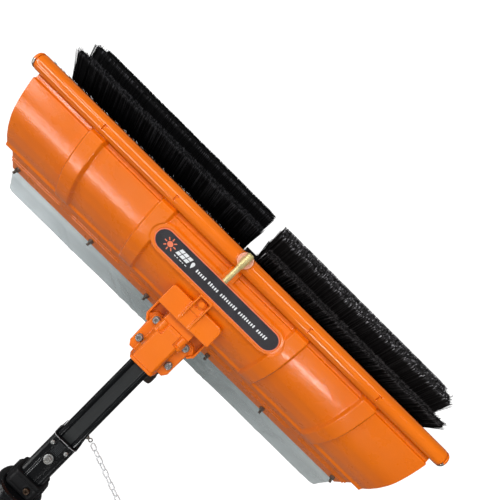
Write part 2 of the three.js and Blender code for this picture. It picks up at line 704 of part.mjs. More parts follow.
// ---------------------------------------------------------------- splash apron, strip, bolts
// [y, z] down the sheet's middle: flat against the skirt's inside, then flaring rearwards
const APRON_LINE = [
  atSkirt(17, -3.95), atSkirt(30, -3.95), atSkirt(44, -3.95),
  [-163.5, -63.5], [-173, -75], [-183, -87], [-194, -98],
];
const STRIP = [atSkirt(22, -7), atSkirt(38, -7), atSkirt(38, -4.9), atSkirt(22, -4.9)];

const apron = carve(prismX(band(APRON_LINE, -0.6, 0.6), -378, 378), ...boltHoles(-12));
put(head, 'splash_apron', apron, MATERIALS.apron);
const apronStrip = carve(prismX(STRIP, -374, 374), ...boltHoles(-14));
put(head, 'apron_strip', apronStrip, MATERIALS.dullSteel);
APRON_BOLTS.forEach((x, i) => {
  const bolt = fuse(skirtRod(2.4, x, -7.6, 11.5, 12), skirtRod(4.6, x, -10.6, -7.3, 6));
  const nut = skirtRod(4.6, x, 0.4, 4.6, 6, 0.3).subtract(skirtRod(2.7, x, -1, 6, 12));
  put(head, `apron_bolt_${i + 1}`, bolt, MATERIALS.steel);
  put(head, `apron_nut_${i + 1}`, nut, MATERIALS.steel);
});

// ---------------------------------------------------------------- pole, eyelet, lead
const POWER_SOCKET = { x: 21, z: 17.2 };
// [radius, y]
const POWER_SOCKET_PROFILE = [
  [0, -231], [8.4, -231], [9.6, -229], [9.6, -215], [8.6, -214], [8.6, -208.6], [7, -206],
  [0, -206],
];

// on the pole's +X flank
function chainEyelet() {
  const { x, y } = EYELET;
  return carve(
    fuse(
      rodX(3.2, y, POLE_Z, 18.3, 22.5, 14),
      box([22, x + 3.4], [y - 3.4, y + 3.4], [POLE_Z - 1, POLE_Z + 1]),
    ),
    rodZ(1.9, x, y, POLE_Z - 3, POLE_Z + 3, 12),
  );
}

function powerSocket() {
  const { x, z } = POWER_SOCKET;
  return latheY(POWER_SOCKET_PROFILE, x, z, 18).subtract(rodY(6, x, z, -232, -224, 14));
}

function motorLead() {
  return fuse(
    rodY(LEAD.radius, 20, 16.4, -205.6, -139, 8),
    tubeAlong(LEAD_BEND, LEAD.radius, 8, 8),
    tubeAlong(LEAD_END.slice(0, 2), LEAD.radius, 8, 3),
  );
}

const poleProfile = prismY(atPole(POLE_OUTSIDE), ...POLE_SPAN, atPole(POLE_INSIDE));
put(head, 'pole_profile', poleProfile, MATERIALS.pole);
put(head, 'chain_eyelet', chainEyelet(), MATERIALS.eyelet);
put(head, 'power_socket', powerSocket(), MATERIALS.powerSocket);
put(head, 'motor_lead', motorLead(), MATERIALS.lead);

// ---------------------------------------------------------------- safety chain
const CHAIN = { pitch: 10.8, count: 10, wire: 1.9 };

function chainLink(middle, length, width, steps) {
  const loop = (inset) => stadium(length - 2 * inset, width - 2 * inset, steps)
    .map(([x, y]) => [x + middle, y]);
  return prismZ(loop(0), -1, 1, loop(CHAIN.wire));
}

// flat links in a row, with a larger one at the free end
function safetyChain() {
  const { pitch, count } = CHAIN;
  const links = [];
  for (let i = 0; i < count - 1; i++) {
    links.push(chainLink(i * pitch + pitch / 2, pitch + 2.6, 7.6, 3));
  }
  links.push(chainLink((count - 1) * pitch + 8.2, 19, 17, 6));
  return fuse(...links);
}

const chain = new THREE.Group();
put(chain, 'safety_chain', safetyChain(), MATERIALS.chain).position.set(6.2, 0, 0);
chain.position.set(EYELET.x, EYELET.y, POLE_Z);
chain.rotation.z = -0.375;
head.add(chain);

// ---------------------------------------------------------------- telescoping socket
// [x, z] down the +X half of the sleeve's outside, from the pole's centre
const SLEEVE_OUTSIDE = atPole(mirrored([
  [7.4, 17.2], [8.4, 18.6], [9, 18.6], [10, 17.4], [15.4, 17.2], [18.6, 15.6],
  [20.5, 12], [20.5, -12.5], [18.8, -16], [15.4, -17.8],
]));
// [x, y] outlines of the +X side
const SLEEVE_LIP = [
  [20.5, SLEEVE.front + 0.5], [20.5, SLEEVE.front - 3], [18.5, SLEEVE.front - 3],
  [18.5, SLEEVE.front + 13], [19.2, SLEEVE.front + 13],
];
const COLLAR_EAR = [
  [22, COLLAR.front - 0.5], [27, COLLAR.front - 2.5], [29.6, COLLAR.front - 6],
  [29.6, COLLAR.front - 15], [26.5, COLLAR.front - 18.5], [28.2, COLLAR.rear + 1],
  [22, COLLAR.rear + 0.2],
];
const sleeveSpace = (from, to) => prismY(grown(SLEEVE_OUTSIDE, GAP), from, to);

function poleSleeve() {
  const { rear, front } = SLEEVE;
  return carve(
    fuse(
      prismY(SLEEVE_OUTSIDE, rear, front),
      // tapered lips that reach forward along the pole's flanks
      ...SIDES.map(([side]) => prismZ(flipped(SLEEVE_LIP, side), POLE_Z - 12, POLE_Z + 10)),
    ),
    poleSpace(GAP + 0.1, rear - 2, front + 20),
    rodZ(4.4, 0, PIN_Y, POLE_Z + 8, POLE_Z + 30, 16),
    ...RIVETS.places.map((x) => rodZ(2.1, x, RIVETS.y, POLE_Z + 13, POLE_Z + 30, 12)),
  );
}

function sleeveRivet(x) {
  const top = POLE_Z + 17.4;
  const profile = [
    [0, top - 1.9], [1.8, top - 1.9], [1.8, top + 0.2], [3.3, top + 0.2], [3, top + 1.4],
    [1.8, top + 2.3], [0, top + 2.6],
  ];
  return latheZ(profile, x, RIVETS.y, 16);
}

// guide bush of the locking plunger
function pinBush() {
  const top = POLE_Z + 17.5;
  const profile = [
    [2.9, top - 6.4], [4.1, top - 6.4], [4.1, top + 0.1], [7.4, top + 0.1], [7.4, top + 1.6],
    [2.9, top + 1.6], [2.9, top - 6.4],
  ];
  return latheZ(profile, 0, PIN_Y, 16);
}

function poleCollar() {
  const { rear, front, screwX, screwY } = COLLAR;
  return carve(
    fuse(
      prismY(atPole(roundedRect(25.5, -21.5, 21.5, 9, 4)), rear, front),
      ...SIDES.map(([side]) => prismZ(flipped(COLLAR_EAR, side), POLE_Z - 10, POLE_Z + 10)),
    ),
    sleeveSpace(rear - 2, front + 2),
    rodZ(3.1, screwX, screwY, POLE_Z + 16, POLE_Z + 30, 14),
    rodZ(5.6, screwX, screwY, POLE_Z + 20.6, POLE_Z + 30, 16),
  );
}

function collarScrew() {
  const { screwX, screwY } = COLLAR;
  // [radius, height above the pole's centre]
  const profile = [
    [0, 19.1], [2.7, 19.1], [2.7, 20.9], [4.9, 20.9], [4.9, 23.4], [3.8, 24.6], [0, 25],
  ].map(([radius, height]) => [radius, POLE_Z + height]);
  return latheZ(profile, screwX, screwY, 18)
    .subtract(rodZ(2.2, screwX, screwY, POLE_Z + 23.2, POLE_Z + 27, 6));
}

// round, with a groove
function poleCoupling() {
  const { rear, front, radius } = COUPLING;
  const profile = [
    [0, rear], [radius - 3, rear], [radius, rear + 6], [radius, front - 32.6],
    [radius - 1.6, front - 31], [radius - 1.6, front - 27.6], [radius, front - 26],
    [radius, front - 5.5], [radius - 1.4, front - 1.6], [radius - 5, front], [0, front],
  ];
  return carve(
    latheY(profile, 0, POLE_Z, 32),
    poleSpace(GAP + 0.2, rear + 7, front + 5),
    sleeveSpace(SLEEVE.rear - 0.4, front + 5),
  );
}

function lockPin() {
  const base = POLE_Z + 19.4;                         // underside of the knob
  const profile = [
    [0, POLE_Z + 10.7], [1.9, POLE_Z + 10.7], [2.6, POLE_Z + 11.6], [2.6, base], [5.6, base],
    [5.9, base + 0.8], [5.9, base + 3.4], [5.1, base + 4.3], [0, base + 4.3],
  ];
  return latheZ(profile, 0, PIN_Y, 16).subtract(rodZ(1.6, 0, PIN_Y, base + 1.8, base + 5, 12));
}

const socket = new THREE.Group();
put(socket, 'pole_sleeve', poleSleeve(), MATERIALS.sleeve);
RIVETS.places.forEach((x, i) => {
  put(socket, `sleeve_rivet_${i + 1}`, sleeveRivet(x), MATERIALS.polishedSteel);
});
put(socket, 'pin_bush', pinBush(), MATERIALS.bush);
put(socket, 'pole_collar', poleCollar(), MATERIALS.collar);
put(socket, 'collar_screw', collarScrew(), MATERIALS.collarScrew);
put(socket, 'pole_coupling', poleCoupling(), MATERIALS.coupling);

const plunger = new THREE.Group();
put(plunger, 'lock_pin', lockPin(), MATERIALS.lockPin);
socket.add(plunger);

const assembly = new THREE.Group();
assembly.add(head, socket);
assembly.position.set(0, -COUPLING.rear, -POLE_Z);
export default assembly;
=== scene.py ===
# A water-fed roller brush head: an orange cover with a spray tube along its crest, two brush
# halves, a cast housing and clamp, a clear apron, and a pole with its sleeve and coupling.
# Lengths are millimetres in the brush frame: the axle lies along x through the origin, z is
# up and the pole runs off towards -y. Meshes are moved to the CAD frame, in metres, when built.
# Material coordinates are metres in the CAD frame.
import math

import bmesh
import bpy
import numpy as np
from mathutils import Matrix, Vector
from mathutils.geometry import tessellate_polygon

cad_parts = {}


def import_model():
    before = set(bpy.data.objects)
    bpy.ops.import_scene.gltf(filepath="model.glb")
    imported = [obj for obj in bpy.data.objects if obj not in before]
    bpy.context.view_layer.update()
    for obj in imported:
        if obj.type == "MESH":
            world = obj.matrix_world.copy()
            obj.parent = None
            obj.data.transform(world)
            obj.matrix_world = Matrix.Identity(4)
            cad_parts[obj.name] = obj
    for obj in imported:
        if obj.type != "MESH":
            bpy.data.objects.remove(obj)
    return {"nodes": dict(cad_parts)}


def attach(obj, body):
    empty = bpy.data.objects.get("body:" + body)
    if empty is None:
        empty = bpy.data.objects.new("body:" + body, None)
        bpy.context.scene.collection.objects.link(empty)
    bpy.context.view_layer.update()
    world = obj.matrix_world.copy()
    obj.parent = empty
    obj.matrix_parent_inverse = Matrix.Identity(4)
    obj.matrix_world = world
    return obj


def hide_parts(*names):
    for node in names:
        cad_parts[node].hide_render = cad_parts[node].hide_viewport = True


CAD_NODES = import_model()["nodes"]
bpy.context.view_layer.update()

TO_CAD_FRAME = np.array([0.0, 540.0, -42.0])
LEFT, RIGHT = -1, 1
SIDE_NAMES = {LEFT: "left", RIGHT: "right"}
UNIT_X, UNIT_Y, UNIT_Z = np.eye(3)
# Two axes across and the axis itself, for lathes and prisms
ABOUT_X = (UNIT_Y, UNIT_Z, UNIT_X)
ABOUT_Y = (UNIT_Z, UNIT_X, UNIT_Y)
ABOUT_Z = (UNIT_X, UNIT_Y, UNIT_Z)


# ---------------------------------------------------------------- curves and outlines
def smoothstep(start, end, value):
    t = np.clip((value - start) / (end - start), 0, 1)
    return t * t * (3 - 2 * t)


def unit(vectors):
    return vectors / np.linalg.norm(vectors, axis=-1, keepdims=True)


def mirrored(half):
    """An outline closed by the mirror image of its half in the first coordinate."""
    return np.array(half + [(-across, other) for across, other in half[::-1]], float)


def signed_area(outline):
    """Twice the area, positive when the outline runs anticlockwise."""
    after = np.roll(outline, -1, 0)
    return np.sum(outline[:, 0] * after[:, 1] - after[:, 0] * outline[:, 1])


def anticlockwise(outline):
    outline = np.asarray(outline, float)
    return outline[::-1] if signed_area(outline) < 0 else outline


def rounded(rows, steps=4, closed=False):
    """A polyline with rounded corners. Rows: two coordinates and the corner radius."""
    rows = np.asarray(rows, float)
    points = rows[:, :2]
    count = len(points)
    out = []
    for i, (corner, radius) in enumerate(zip(points, rows[:, 2])):
        if not closed and i in (0, count - 1):
            out.append(corner)
            continue
        before = points[i - 1] - corner
        after = points[(i + 1) % count] - corner
        length_before, length_after = np.linalg.norm(before), np.linalg.norm(after)
        before, after = before / length_before, after / length_after
        angle = math.acos(max(-1.0, min(1.0, float(before @ after))))
        if radius <= 1e-6 or angle > math.pi - 0.05 or angle < 0.02:
            out.append(corner)
            continue
        # no corner takes more than about half of either neighbouring edge
        setback = radius / math.tan(angle / 2)
        setback = min(setback, length_before * 0.48, length_after * 0.48)
        radius = setback * math.tan(angle / 2)
        centre = corner + unit(before + after) * (radius / math.sin(angle / 2))
        start = corner + before * setback - centre
        end = corner + after * setback - centre
        first = math.atan2(start[1], start[0])
        swing = math.atan2(end[1], end[0]) - first
        swing = (swing + math.pi) % (2 * math.pi) - math.pi
        for j in range(steps + 1):
            turn = first + swing * j / steps
            out.append(centre + radius * np.array([math.cos(turn), math.sin(turn)]))
    return np.array(out)


def catmull_rom(points, steps):
    """A curve through all the points but the first and last, which only steer it."""
    t = np.linspace(0, 1, steps, endpoint=False)[:, None]
    out = []
    for i in range(1, len(points) - 2):
        p0, p1, p2, p3 = points[i - 1 : i + 3]
        square = (2 * p0 - 5 * p1 + 4 * p2 - p3) * t**2
        out.append(0.5 * (2 * p1 + (p2 - p0) * t + square + (3 * p1 - p0 - 3 * p2 + p3) * t**3))
    return np.concatenate(out + [points[-2:-1]])


def run_length(curve):
    steps = np.linalg.norm(np.diff(curve, axis=0), axis=1)
    return np.concatenate([[0], np.cumsum(steps)])


def resample(curve, count):
    length = run_length(curve)
    stations = np.linspace(0, length[-1], count)
    return np.stack([np.interp(stations, length, curve[:, i]) for i in range(2)], 1)


def spline(points, step):
    """A smooth curve through the points, resampled evenly."""
    points = np.asarray(points, float)
    before, after = 2 * points[0] - points[1], 2 * points[-1] - points[-2]
    curve = catmull_rom(np.concatenate([[before], points, [after]]), 24)
    return resample(curve, int(round(run_length(curve)[-1] / step)) + 1)


def curve_normals(curve):
    along = unit(np.gradient(curve, axis=0))
    return np.stack([along[:, 1], -along[:, 0]], 1)


def repeated(start, stop, pitch, pattern):
    """Profile points of a pattern of (radius, offset) pairs set along the axis."""
    out = []
    place = start
    while place < stop:
        out += [(radius, place + offset) for radius, offset in pattern]
        place += pitch
    return out


# ---------------------------------------------------------------- mesh building
def grid_quads(rows, columns, close_rows=False, close_columns=False, flip=False):
    row, column = np.meshgrid(
        np.arange(rows if close_rows else rows - 1),
        np.arange(columns if close_columns else columns - 1),
        indexing="ij",
    )
    row, column = row.ravel(), column.ravel()
    next_row, next_column = (row + 1) % rows, (column + 1) % columns
    quads = np.stack(
        [
            row * columns + column,
            next_row * columns + column,
            next_row * columns + next_column,
            row * columns + next_column,
        ],
        1,
    )
    return quads[:, ::-1] if flip else quads


def bridge(ring, other):
    """Quads between two rings of vertex numbers."""
    return np.stack([ring, np.roll(ring, -1), np.roll(other, -1), other], 1)


def fan(tip, ring, back=False):
    """Triangles from one vertex to a ring, wound the other way if back."""
    triangles = np.stack([np.full(len(ring), tip), ring, np.roll(ring, -1)], 1)
    return triangles[:, [0, 2, 1]] if back else triangles


def rim_edges(quads, count):
    """The directed edges that only one quad uses."""
    edges = np.concatenate([quads[:, [i, (i + 1) % 4]] for i in range(4)])
    forward = edges[:, 0] * count + edges[:, 1]
    backward = edges[:, 1] * count + edges[:, 0]
    return edges[~np.isin(forward, backward)]


def fill(outline):
    """Anticlockwise triangles filling one closed outline."""
    corners = [Vector((point[0], point[1], 0)) for point in outline]
    triangles = np.array(tessellate_polygon([corners]), int).reshape(-1, 3)
    first = outline[triangles[:, 1]] - outline[triangles[:, 0]]
    second = outline[triangles[:, 2]] - outline[triangles[:, 0]]
    bad = (first[:, 0] * second[:, 1] - first[:, 1] * second[:, 0]) < 0
    triangles[bad] = triangles[bad][:, ::-1]
    return triangles


def link(item):
    bpy.context.scene.collection.objects.link(item)
    return item


def mesh_object(name, points, face_sets, materials, smooth=True, sharp=None, slots=None):
    """An object from brush-frame points and arrays of triangles or quads."""
    points = (np.asarray(points, float) + TO_CAD_FRAME) / 1000.0
    mesh = bpy.data.meshes.new(name)
    mesh.vertices.add(len(points))
    mesh.vertices.foreach_set("co", points.astype(np.float32).ravel())
    loops = np.concatenate([faces.ravel() for faces in face_sets])
    totals = np.concatenate([np.full(len(faces), faces.shape[1]) for faces in face_sets])
    starts = np.concatenate([[0], np.cumsum(totals)[:-1]])
    mesh.loops.add(len(loops))
    mesh.loops.foreach_set("vertex_index", loops.astype(np.int32))
    mesh.polygons.add(len(totals))
    mesh.polygons.foreach_set("loop_start", starts.astype(np.int32))
    mesh.polygons.foreach_set("loop_total", totals.astype(np.int32))
    for material in materials if isinstance(materials, list) else [materials]:
        mesh.materials.append(material)
    if slots is not None:
        mesh.polygons.foreach_set("material_index", slots.astype(np.int32))
    mesh.polygons.foreach_set("use_smooth", np.full(len(totals), smooth))
    mesh.update(calc_edges=True)
    mesh.validate()
    if len(totals) < 60000:
        editable = bmesh.new()
        editable.from_mesh(mesh)
        bmesh.ops.recalc_face_normals(editable, faces=editable.faces)
        editable.to_mesh(mesh)
        editable.free()
    if sharp is not None:
        mesh.set_sharp_from_angle(angle=math.radians(sharp))
    return link(bpy.data.objects.new(name, mesh))


def register(item, body, slot, *replaced):
    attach(item, body)
    if replaced:
        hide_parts(*replaced)


class Piece:
    """Collects shapes into one object; slot is the material slot of a shape."""

    def __init__(self):
        self.points = []
        self.count = 0
        # keyed by the number of sides
        self.faces = {4: [], 3: []}
        self.slots = {4: [], 3: []}

    def add(self, points, *face_sets, slot=0):
        for faces in face_sets:
            self.faces[faces.shape[1]].append(faces + self.count)
            self.slots[faces.shape[1]].append(np.full(len(faces), slot))
        points = np.asarray(points, float).reshape(-1, 3)
        self.points.append(points)
        self.count += len(points)

    def build(self, name, materials, sharp=None, smooth=True):
        kinds = [sides for sides in (4, 3) if self.faces[sides]]
        faces = [np.concatenate(self.faces[sides]) for sides in kinds]
        slots = np.concatenate([np.concatenate(self.slots[sides]) for sides in kinds])
        points = np.concatenate(self.points)
        return mesh_object(name, points, faces, materials, smooth, sharp, slots)

    def show(self, name, materials, sharp, body, slot, *replaced):
        register(self.build(name, materials, sharp), body, slot, *replaced)

    def lathe(self, profile, axes, centre, segments=64, slot=0, hex_rings=(), turn=0.0):
        """Turn (radius, height) pairs about axes[2].

        The profile closes on itself or starts and ends on the axis. The points listed in
        hex_rings are drawn as hexagons.
        """
        profile = np.asarray(profile, float)
        angle = np.arange(segments) / segments * 2 * math.pi + turn
        radii = np.repeat(profile[:, :1], segments, 1)
        for i in hex_rings:
            sector = (angle - turn) % (math.pi / 3) - math.pi / 6
            radii[i] *= math.cos(math.pi / 6) / np.cos(sector)
        circle = np.cos(angle)[:, None] * axes[0] + np.sin(angle)[:, None] * axes[1]
        heights = profile[:, 1][:, None, None] * axes[2]
        rings = np.asarray(centre, float) + radii[..., None] * circle + heights
        flip = signed_area(profile) > 0
        if np.allclose(profile[0], profile[-1]):
            rings = rings[:-1]
            self.add(rings, grid_quads(len(rings), segments, True, True, flip), slot=slot)
            return
        middle = rings[1:-1].reshape(-1, 3)
        quads = grid_quads(len(rings) - 2, segments, close_columns=True, flip=flip) + 1
        ring = np.arange(segments) + 1
        far_ring = ring + len(middle) - segments
        fans = np.concatenate([fan(0, ring), fan(len(middle) + 1, far_ring, back=True)])
        points = np.concatenate([rings[0, :1], middle, rings[-1, :1]])
        self.add(points, quads, fans if flip else fans[:, ::-1], slot=slot)

    def sweep(self, path, radius, segments=12, closed=False, slot=0, up=(0, 0, 1)):
        """A round section along a path."""
        path = np.asarray(path, float)
        if closed:
            along = unit(np.roll(path, -1, 0) - np.roll(path, 1, 0))
        else:
            along = unit(np.gradient(path, axis=0))
        across = unit(np.cross(along, np.asarray(up, float)))
        third = np.cross(along, across)
        angle = (np.arange(segments) / segments * 2 * math.pi)[None, :, None]
        circle = np.cos(angle) * across[:, None] + np.sin(angle) * third[:, None]
        points = (path[:, None] + radius * circle).reshape(-1, 3)
        quads = grid_quads(len(path), segments, closed, True, flip=True)
        if closed:
            self.add(points, quads, slot=slot)
            return
        ring = np.arange(segments)
        total = len(points)
        near_cap = fan(total, ring)
        far_cap = fan(total + 1, ring + total - segments, back=True)
        points = np.concatenate([points, path[:1], path[-1:]])
        self.add(points, quads, np.concatenate([near_cap, far_cap]), slot=slot)

    def prism(self, outline, axes, start, end, edge):
        """Push an outline in (axes[0], axes[1]) along axes[2], its end edges rounded."""
        outline = anticlockwise(outline)
        sides = outline - np.roll(outline, 1, 0)
        sides /= np.maximum(np.linalg.norm(sides, axis=1), 1e-9)[:, None]
        side_normals = np.stack([sides[:, 1], -sides[:, 0]], 1)
        normals = side_normals + np.roll(side_normals, -1, 0)
        normals /= np.maximum(np.linalg.norm(normals, axis=1), 1e-6)[:, None]
        quarter = [(math.sin(a), math.cos(a)) for a in np.arange(4) / 3 * math.pi / 2]
        stations = [(start + edge * (1 - sine), edge * (1 - cosine)) for sine, cosine in quarter]
        stations = stations[::-1]
        stations += [(end - edge * (1 - sine), edge * (1 - cosine)) for sine, cosine in quarter]
        rings = []
        for height, inset in stations:
            flat = outline - normals * inset
            rings.append(flat[:, :1] * axes[0] + flat[:, 1:] * axes[1] + height * axes[2])
        count = len(outline)
        quads = grid_quads(len(rings), count, close_columns=True, flip=True)
        cap = fill(outline)
        far_cap = cap + (len(rings) - 1) * count
        self.add(np.array(rings), quads, np.concatenate([cap[:, ::-1], far_cap]))


# ---------------------------------------------------------------- distance fields
def join(first, second, radius):
    """The union of two distances with a fillet."""
    overlap = np.maximum(radius - np.abs(first - second), 0.0) / radius
    return np.minimum(first, second) - overlap * overlap * radius * 0.25


def carve(body, tool, radius=0.0):
    """Take the tool away from the body, rounding the edge if a radius is given."""
    if radius:
        return -join(-body, tool, radius)
    return np.maximum(body, -tool)


def box(point, x_span, y_span, z_span, edge=0.0):
    beyond = []
    for value, (low, high) in zip(point, (x_span, y_span, z_span)):
        beyond.append(np.abs(value - (low + high) / 2) - (high - low) / 2 + edge)
    x, y, z = beyond
    out = np.sqrt(np.maximum(x, 0) ** 2 + np.maximum(y, 0) ** 2 + np.maximum(z, 0) ** 2)
    return out + np.minimum(np.maximum(x, np.maximum(y, z)), 0) - edge


def polygon(across, up, outline):
    """Signed distance to a closed outline in the plane."""
    outline = np.asarray(outline, float)
    nearest = np.full(across.shape, 1e9, np.float32)
    sign = np.ones(across.shape, np.float32)
    for i in range(len(outline)):
        here, before = outline[i], outline[i - 1]
        edge_x, edge_y = before[0] - here[0], before[1] - here[1]
        to_x, to_y = across - here[0], up - here[1]
        square = max(edge_x * edge_x + edge_y * edge_y, 1e-12)
        part = np.clip((to_x * edge_x + to_y * edge_y) / square, 0, 1)
        gap_x, gap_y = to_x - edge_x * part, to_y - edge_y * part
        nearest = np.minimum(nearest, gap_x * gap_x + gap_y * gap_y)
        above, below = up >= here[1], up < before[1]
        left_of = edge_x * to_y > edge_y * to_x
        crossed = (above & below & left_of) | (~above & ~below & ~left_of)
        sign = np.where(crossed, -sign, sign)
    return sign * np.sqrt(nearest)


def extrude(flat, along, start, end, edge=0.0):
    """Give a plane distance a length, with rounded end edges."""
    side = flat + edge
    cap = np.abs(along - (start + end) / 2) - (end - start) / 2 + edge
    outside = np.sqrt(np.maximum(side, 0) ** 2 + np.maximum(cap, 0) ** 2)
    return np.minimum(np.maximum(side, cap), 0) + outside - edge


def upright(point, centre, radius, bottom, top, edge=0.0):
    """A cylinder along z."""
    flat = np.sqrt((point[0] - centre[0]) ** 2 + (point[1] - centre[1]) ** 2) - radius
    return extrude(flat, point[2], bottom, top, edge)


def egg(point, centre, squash, radius):
    """A ball shortened along y."""
    x, y, z = point
    squares = (x - centre[0]) ** 2 + (z - centre[2]) ** 2
    return np.sqrt(squares + ((y - centre[1]) * squash) ** 2) - radius


def surface_nets(distance, low, high, cell):
    """A quad mesh over a distance field, its vertices then pulled on to the surface."""
    low = np.asarray(low, float)
    size = np.ceil((np.asarray(high, float) - low) / cell).astype(int) + 1
    axes = [(low[i] + cell * np.arange(size[i])).astype(np.float32) for i in range(3)]
    field = np.empty(size, np.float32)
    slab = max(1, int(1.5e6 / (size[1] * size[2])))
    for i in range(0, size[0], slab):
        part = np.meshgrid(axes[0][i : i + slab], axes[1], axes[2], indexing="ij")
        field[i : i + slab] = distance(part)
    inside = field < 0
    corners = list(np.ndindex(2, 2, 2))
    filled = np.zeros(size - 1, np.int8)
    for corner in corners:
        i, j, k = corner
        filled += inside[i : size[0] - 1 + i, j : size[1] - 1 + j, k : size[2] - 1 + k]
    active = (filled > 0) & (filled < 8)
    cells = np.argwhere(active)
    numbers = -np.ones(size - 1, np.int64)
    numbers[active] = np.arange(len(cells))

    # one vertex per active cell, at the mean of its edge crossings
    total, hits = np.zeros((len(cells), 3)), np.zeros(len(cells))
    for near in corners:
        for axis in range(3):
            if near[axis]:
                continue
            far = list(near)
            far[axis] = 1
            at_near = field[tuple((cells + near).T)]
            at_far = field[tuple((cells + far).T)]
            crosses = (at_near < 0) != (at_far < 0)
            part = np.where(crosses, at_near / np.where(crosses, at_near - at_far, 1), 0)
            start, end = np.array(near, float), np.array(far, float)
            place = start[None] + part[:, None] * (end - start)[None]
            total[crosses] += place[crosses]
            hits[crosses] += 1
    points = low + cell * (cells + total / hits[:, None])

    probe = 0.12
    for _ in range(3):
        here = distance([points[:, 0], points[:, 1], points[:, 2]])
        slopes = []
        for axis in range(3):
            moved = [points[:, i] + probe * (axis == i) for i in range(3)]
            slopes.append(distance(moved) - here)
        gradient = np.stack(slopes, 1) / probe
        square = np.maximum(np.sum(gradient * gradient, 1), 0.25)
        points = points - np.clip(here / square, -0.5 * cell, 0.5 * cell)[:, None] * gradient

    quads = []
    for axis, second, third in ((0, 1, 2), (1, 2, 0), (2, 0, 1)):
        lower, upper = [slice(None)] * 3, [slice(None)] * 3
        lower[axis], upper[axis] = slice(0, size[axis] - 1), slice(1, size[axis])
        nodes = np.argwhere(inside[tuple(lower)] != inside[tuple(upper)])
        interior = (nodes[:, second] > 0) & (nodes[:, third] > 0)
        interior &= (nodes[:, second] < size[second] - 1) & (nodes[:, third] < size[third] - 1)
        nodes = nodes[interior]
        starts_inside = inside[tuple(nodes.T)]
        around = []
        for back_second, back_third in ((1, 1), (0, 1), (0, 0), (1, 0)):
            shifted = nodes.copy()
            shifted[:, second] -= back_second
            shifted[:, third] -= back_third
            around.append(numbers[tuple(shifted.T)])
        ring = np.stack(around, 1)
        ring[~starts_inside] = ring[~starts_inside][:, ::-1]
        quads.append(ring)
    return points, np.concatenate(quads)


def show_field(name, distance, low, high, cell, material, body, slot, replaced):
    points, quads = surface_nets(distance, low, high, cell)
    register(mesh_object(name, points, [quads], material), body, slot, replaced)


# ---------------------------------------------------------------- materials
def srgb(red, green, blue):
    """A linear colour from 0..255 screen values."""

    def linear(value):
        return value / 12.92 if value <= 0.04045 else ((value + 0.055) / 1.055) ** 2.4

    return (linear(red / 255), linear(green / 255), linear(blue / 255))


class Nodes:
    """Short calls for the nodes of one tree."""

    def __init__(self, tree):
        self.tree = tree
        self.coordinates = None

    def add(self, kind):
        return self.tree.nodes.new("ShaderNode" + kind)

    def feed(self, socket, value):
        if isinstance(value, bpy.types.NodeSocket):
            self.tree.links.new(value, socket)
        else:
            socket.default_value = value

    def position(self):
        if self.coordinates is None:
            self.coordinates = self.add("TexCoord")
        return self.coordinates.outputs["Object"]

    def axes(self):
        node = self.add("SeparateXYZ")
        self.feed(node.inputs[0], self.position())
        return node.outputs

    def calc(self, operation, first, second=0.0, third=None):
        node = self.add("Math")
        node.operation = operation
        self.feed(node.inputs[0], first)
        self.feed(node.inputs[1], second)
        if third is not None:
            self.feed(node.inputs[2], third)
        return node.outputs[0]

    def multiply(self, first, second):
        return self.calc("MULTIPLY", first, second)

    def noise(self, scale, detail=2.0, rough=0.5, stretch=None):
        vector = self.position()
        if stretch is not None:
            mapping = self.add("Mapping")
            mapping.inputs["Scale"].default_value = stretch
            self.feed(mapping.inputs["Vector"], vector)
            vector = mapping.outputs[0]
        node = self.add("TexNoise")
        node.inputs["Scale"].default_value = scale
        node.inputs["Detail"].default_value = detail
        node.inputs["Roughness"].default_value = rough
        self.feed(node.inputs["Vector"], vector)
        return node.outputs["Fac"]

    def cells(self, scale):
        node = self.add("TexVoronoi")
        node.inputs["Scale"].default_value = scale
        self.feed(node.inputs["Vector"], self.position())
        return node.outputs["Distance"]

    def ramp(self, value, over, to=(0.0, 1.0), curve="SMOOTHSTEP"):
        """Map the range over on to the range to."""
        node = self.add("MapRange")
        node.interpolation_type = curve
        self.feed(node.inputs["Value"], value)
        node.inputs["From Min"].default_value, node.inputs["From Max"].default_value = over
        node.inputs["To Min"].default_value, node.inputs["To Max"].default_value = to
        return node.outputs[0]

    def mix(self, factor, *colours):
        node = self.add("Mix")
        node.data_type = "RGBA"
        self.feed(node.inputs[0], factor)
        for socket, colour in zip(node.inputs[6:8], colours):
            self.feed(socket, (*colour, 1.0) if isinstance(colour, tuple) else colour)
        return node.outputs[2]

    def bump(self, height, strength, distance, normal=None):
        node = self.add("Bump")
        node.inputs["Strength"].default_value = strength
        node.inputs["Distance"].default_value = distance
        self.feed(node.inputs["Height"], height)
        if normal is not None:
            self.feed(node.inputs["Normal"], normal)
        return node.outputs[0]

    def attribute(self, name):
        node = self.add("Attribute")
        node.attribute_name = name
        return node.outputs["Fac"]


class Shader(Nodes):
    """A new material with one principled surface."""

    def __init__(self, name):
        self.material = bpy.data.materials.new(name)
        self.material.use_nodes = True
        super().__init__(self.material.node_tree)
        self.tree.nodes.clear()
        output = self.add("OutputMaterial")
        self.surface = self.add("BsdfPrincipled")
        self.feed(output.inputs[0], self.surface.outputs[0])

    def set(self, name, value):
        self.feed(self.surface.inputs[name], value)


ORANGE = srgb(238, 116, 6)
ORANGE_DEEP = srgb(214, 92, 4)
TUBE_ORANGE = srgb(240, 118, 8)
CAST_ORANGE = srgb(240, 118, 6)


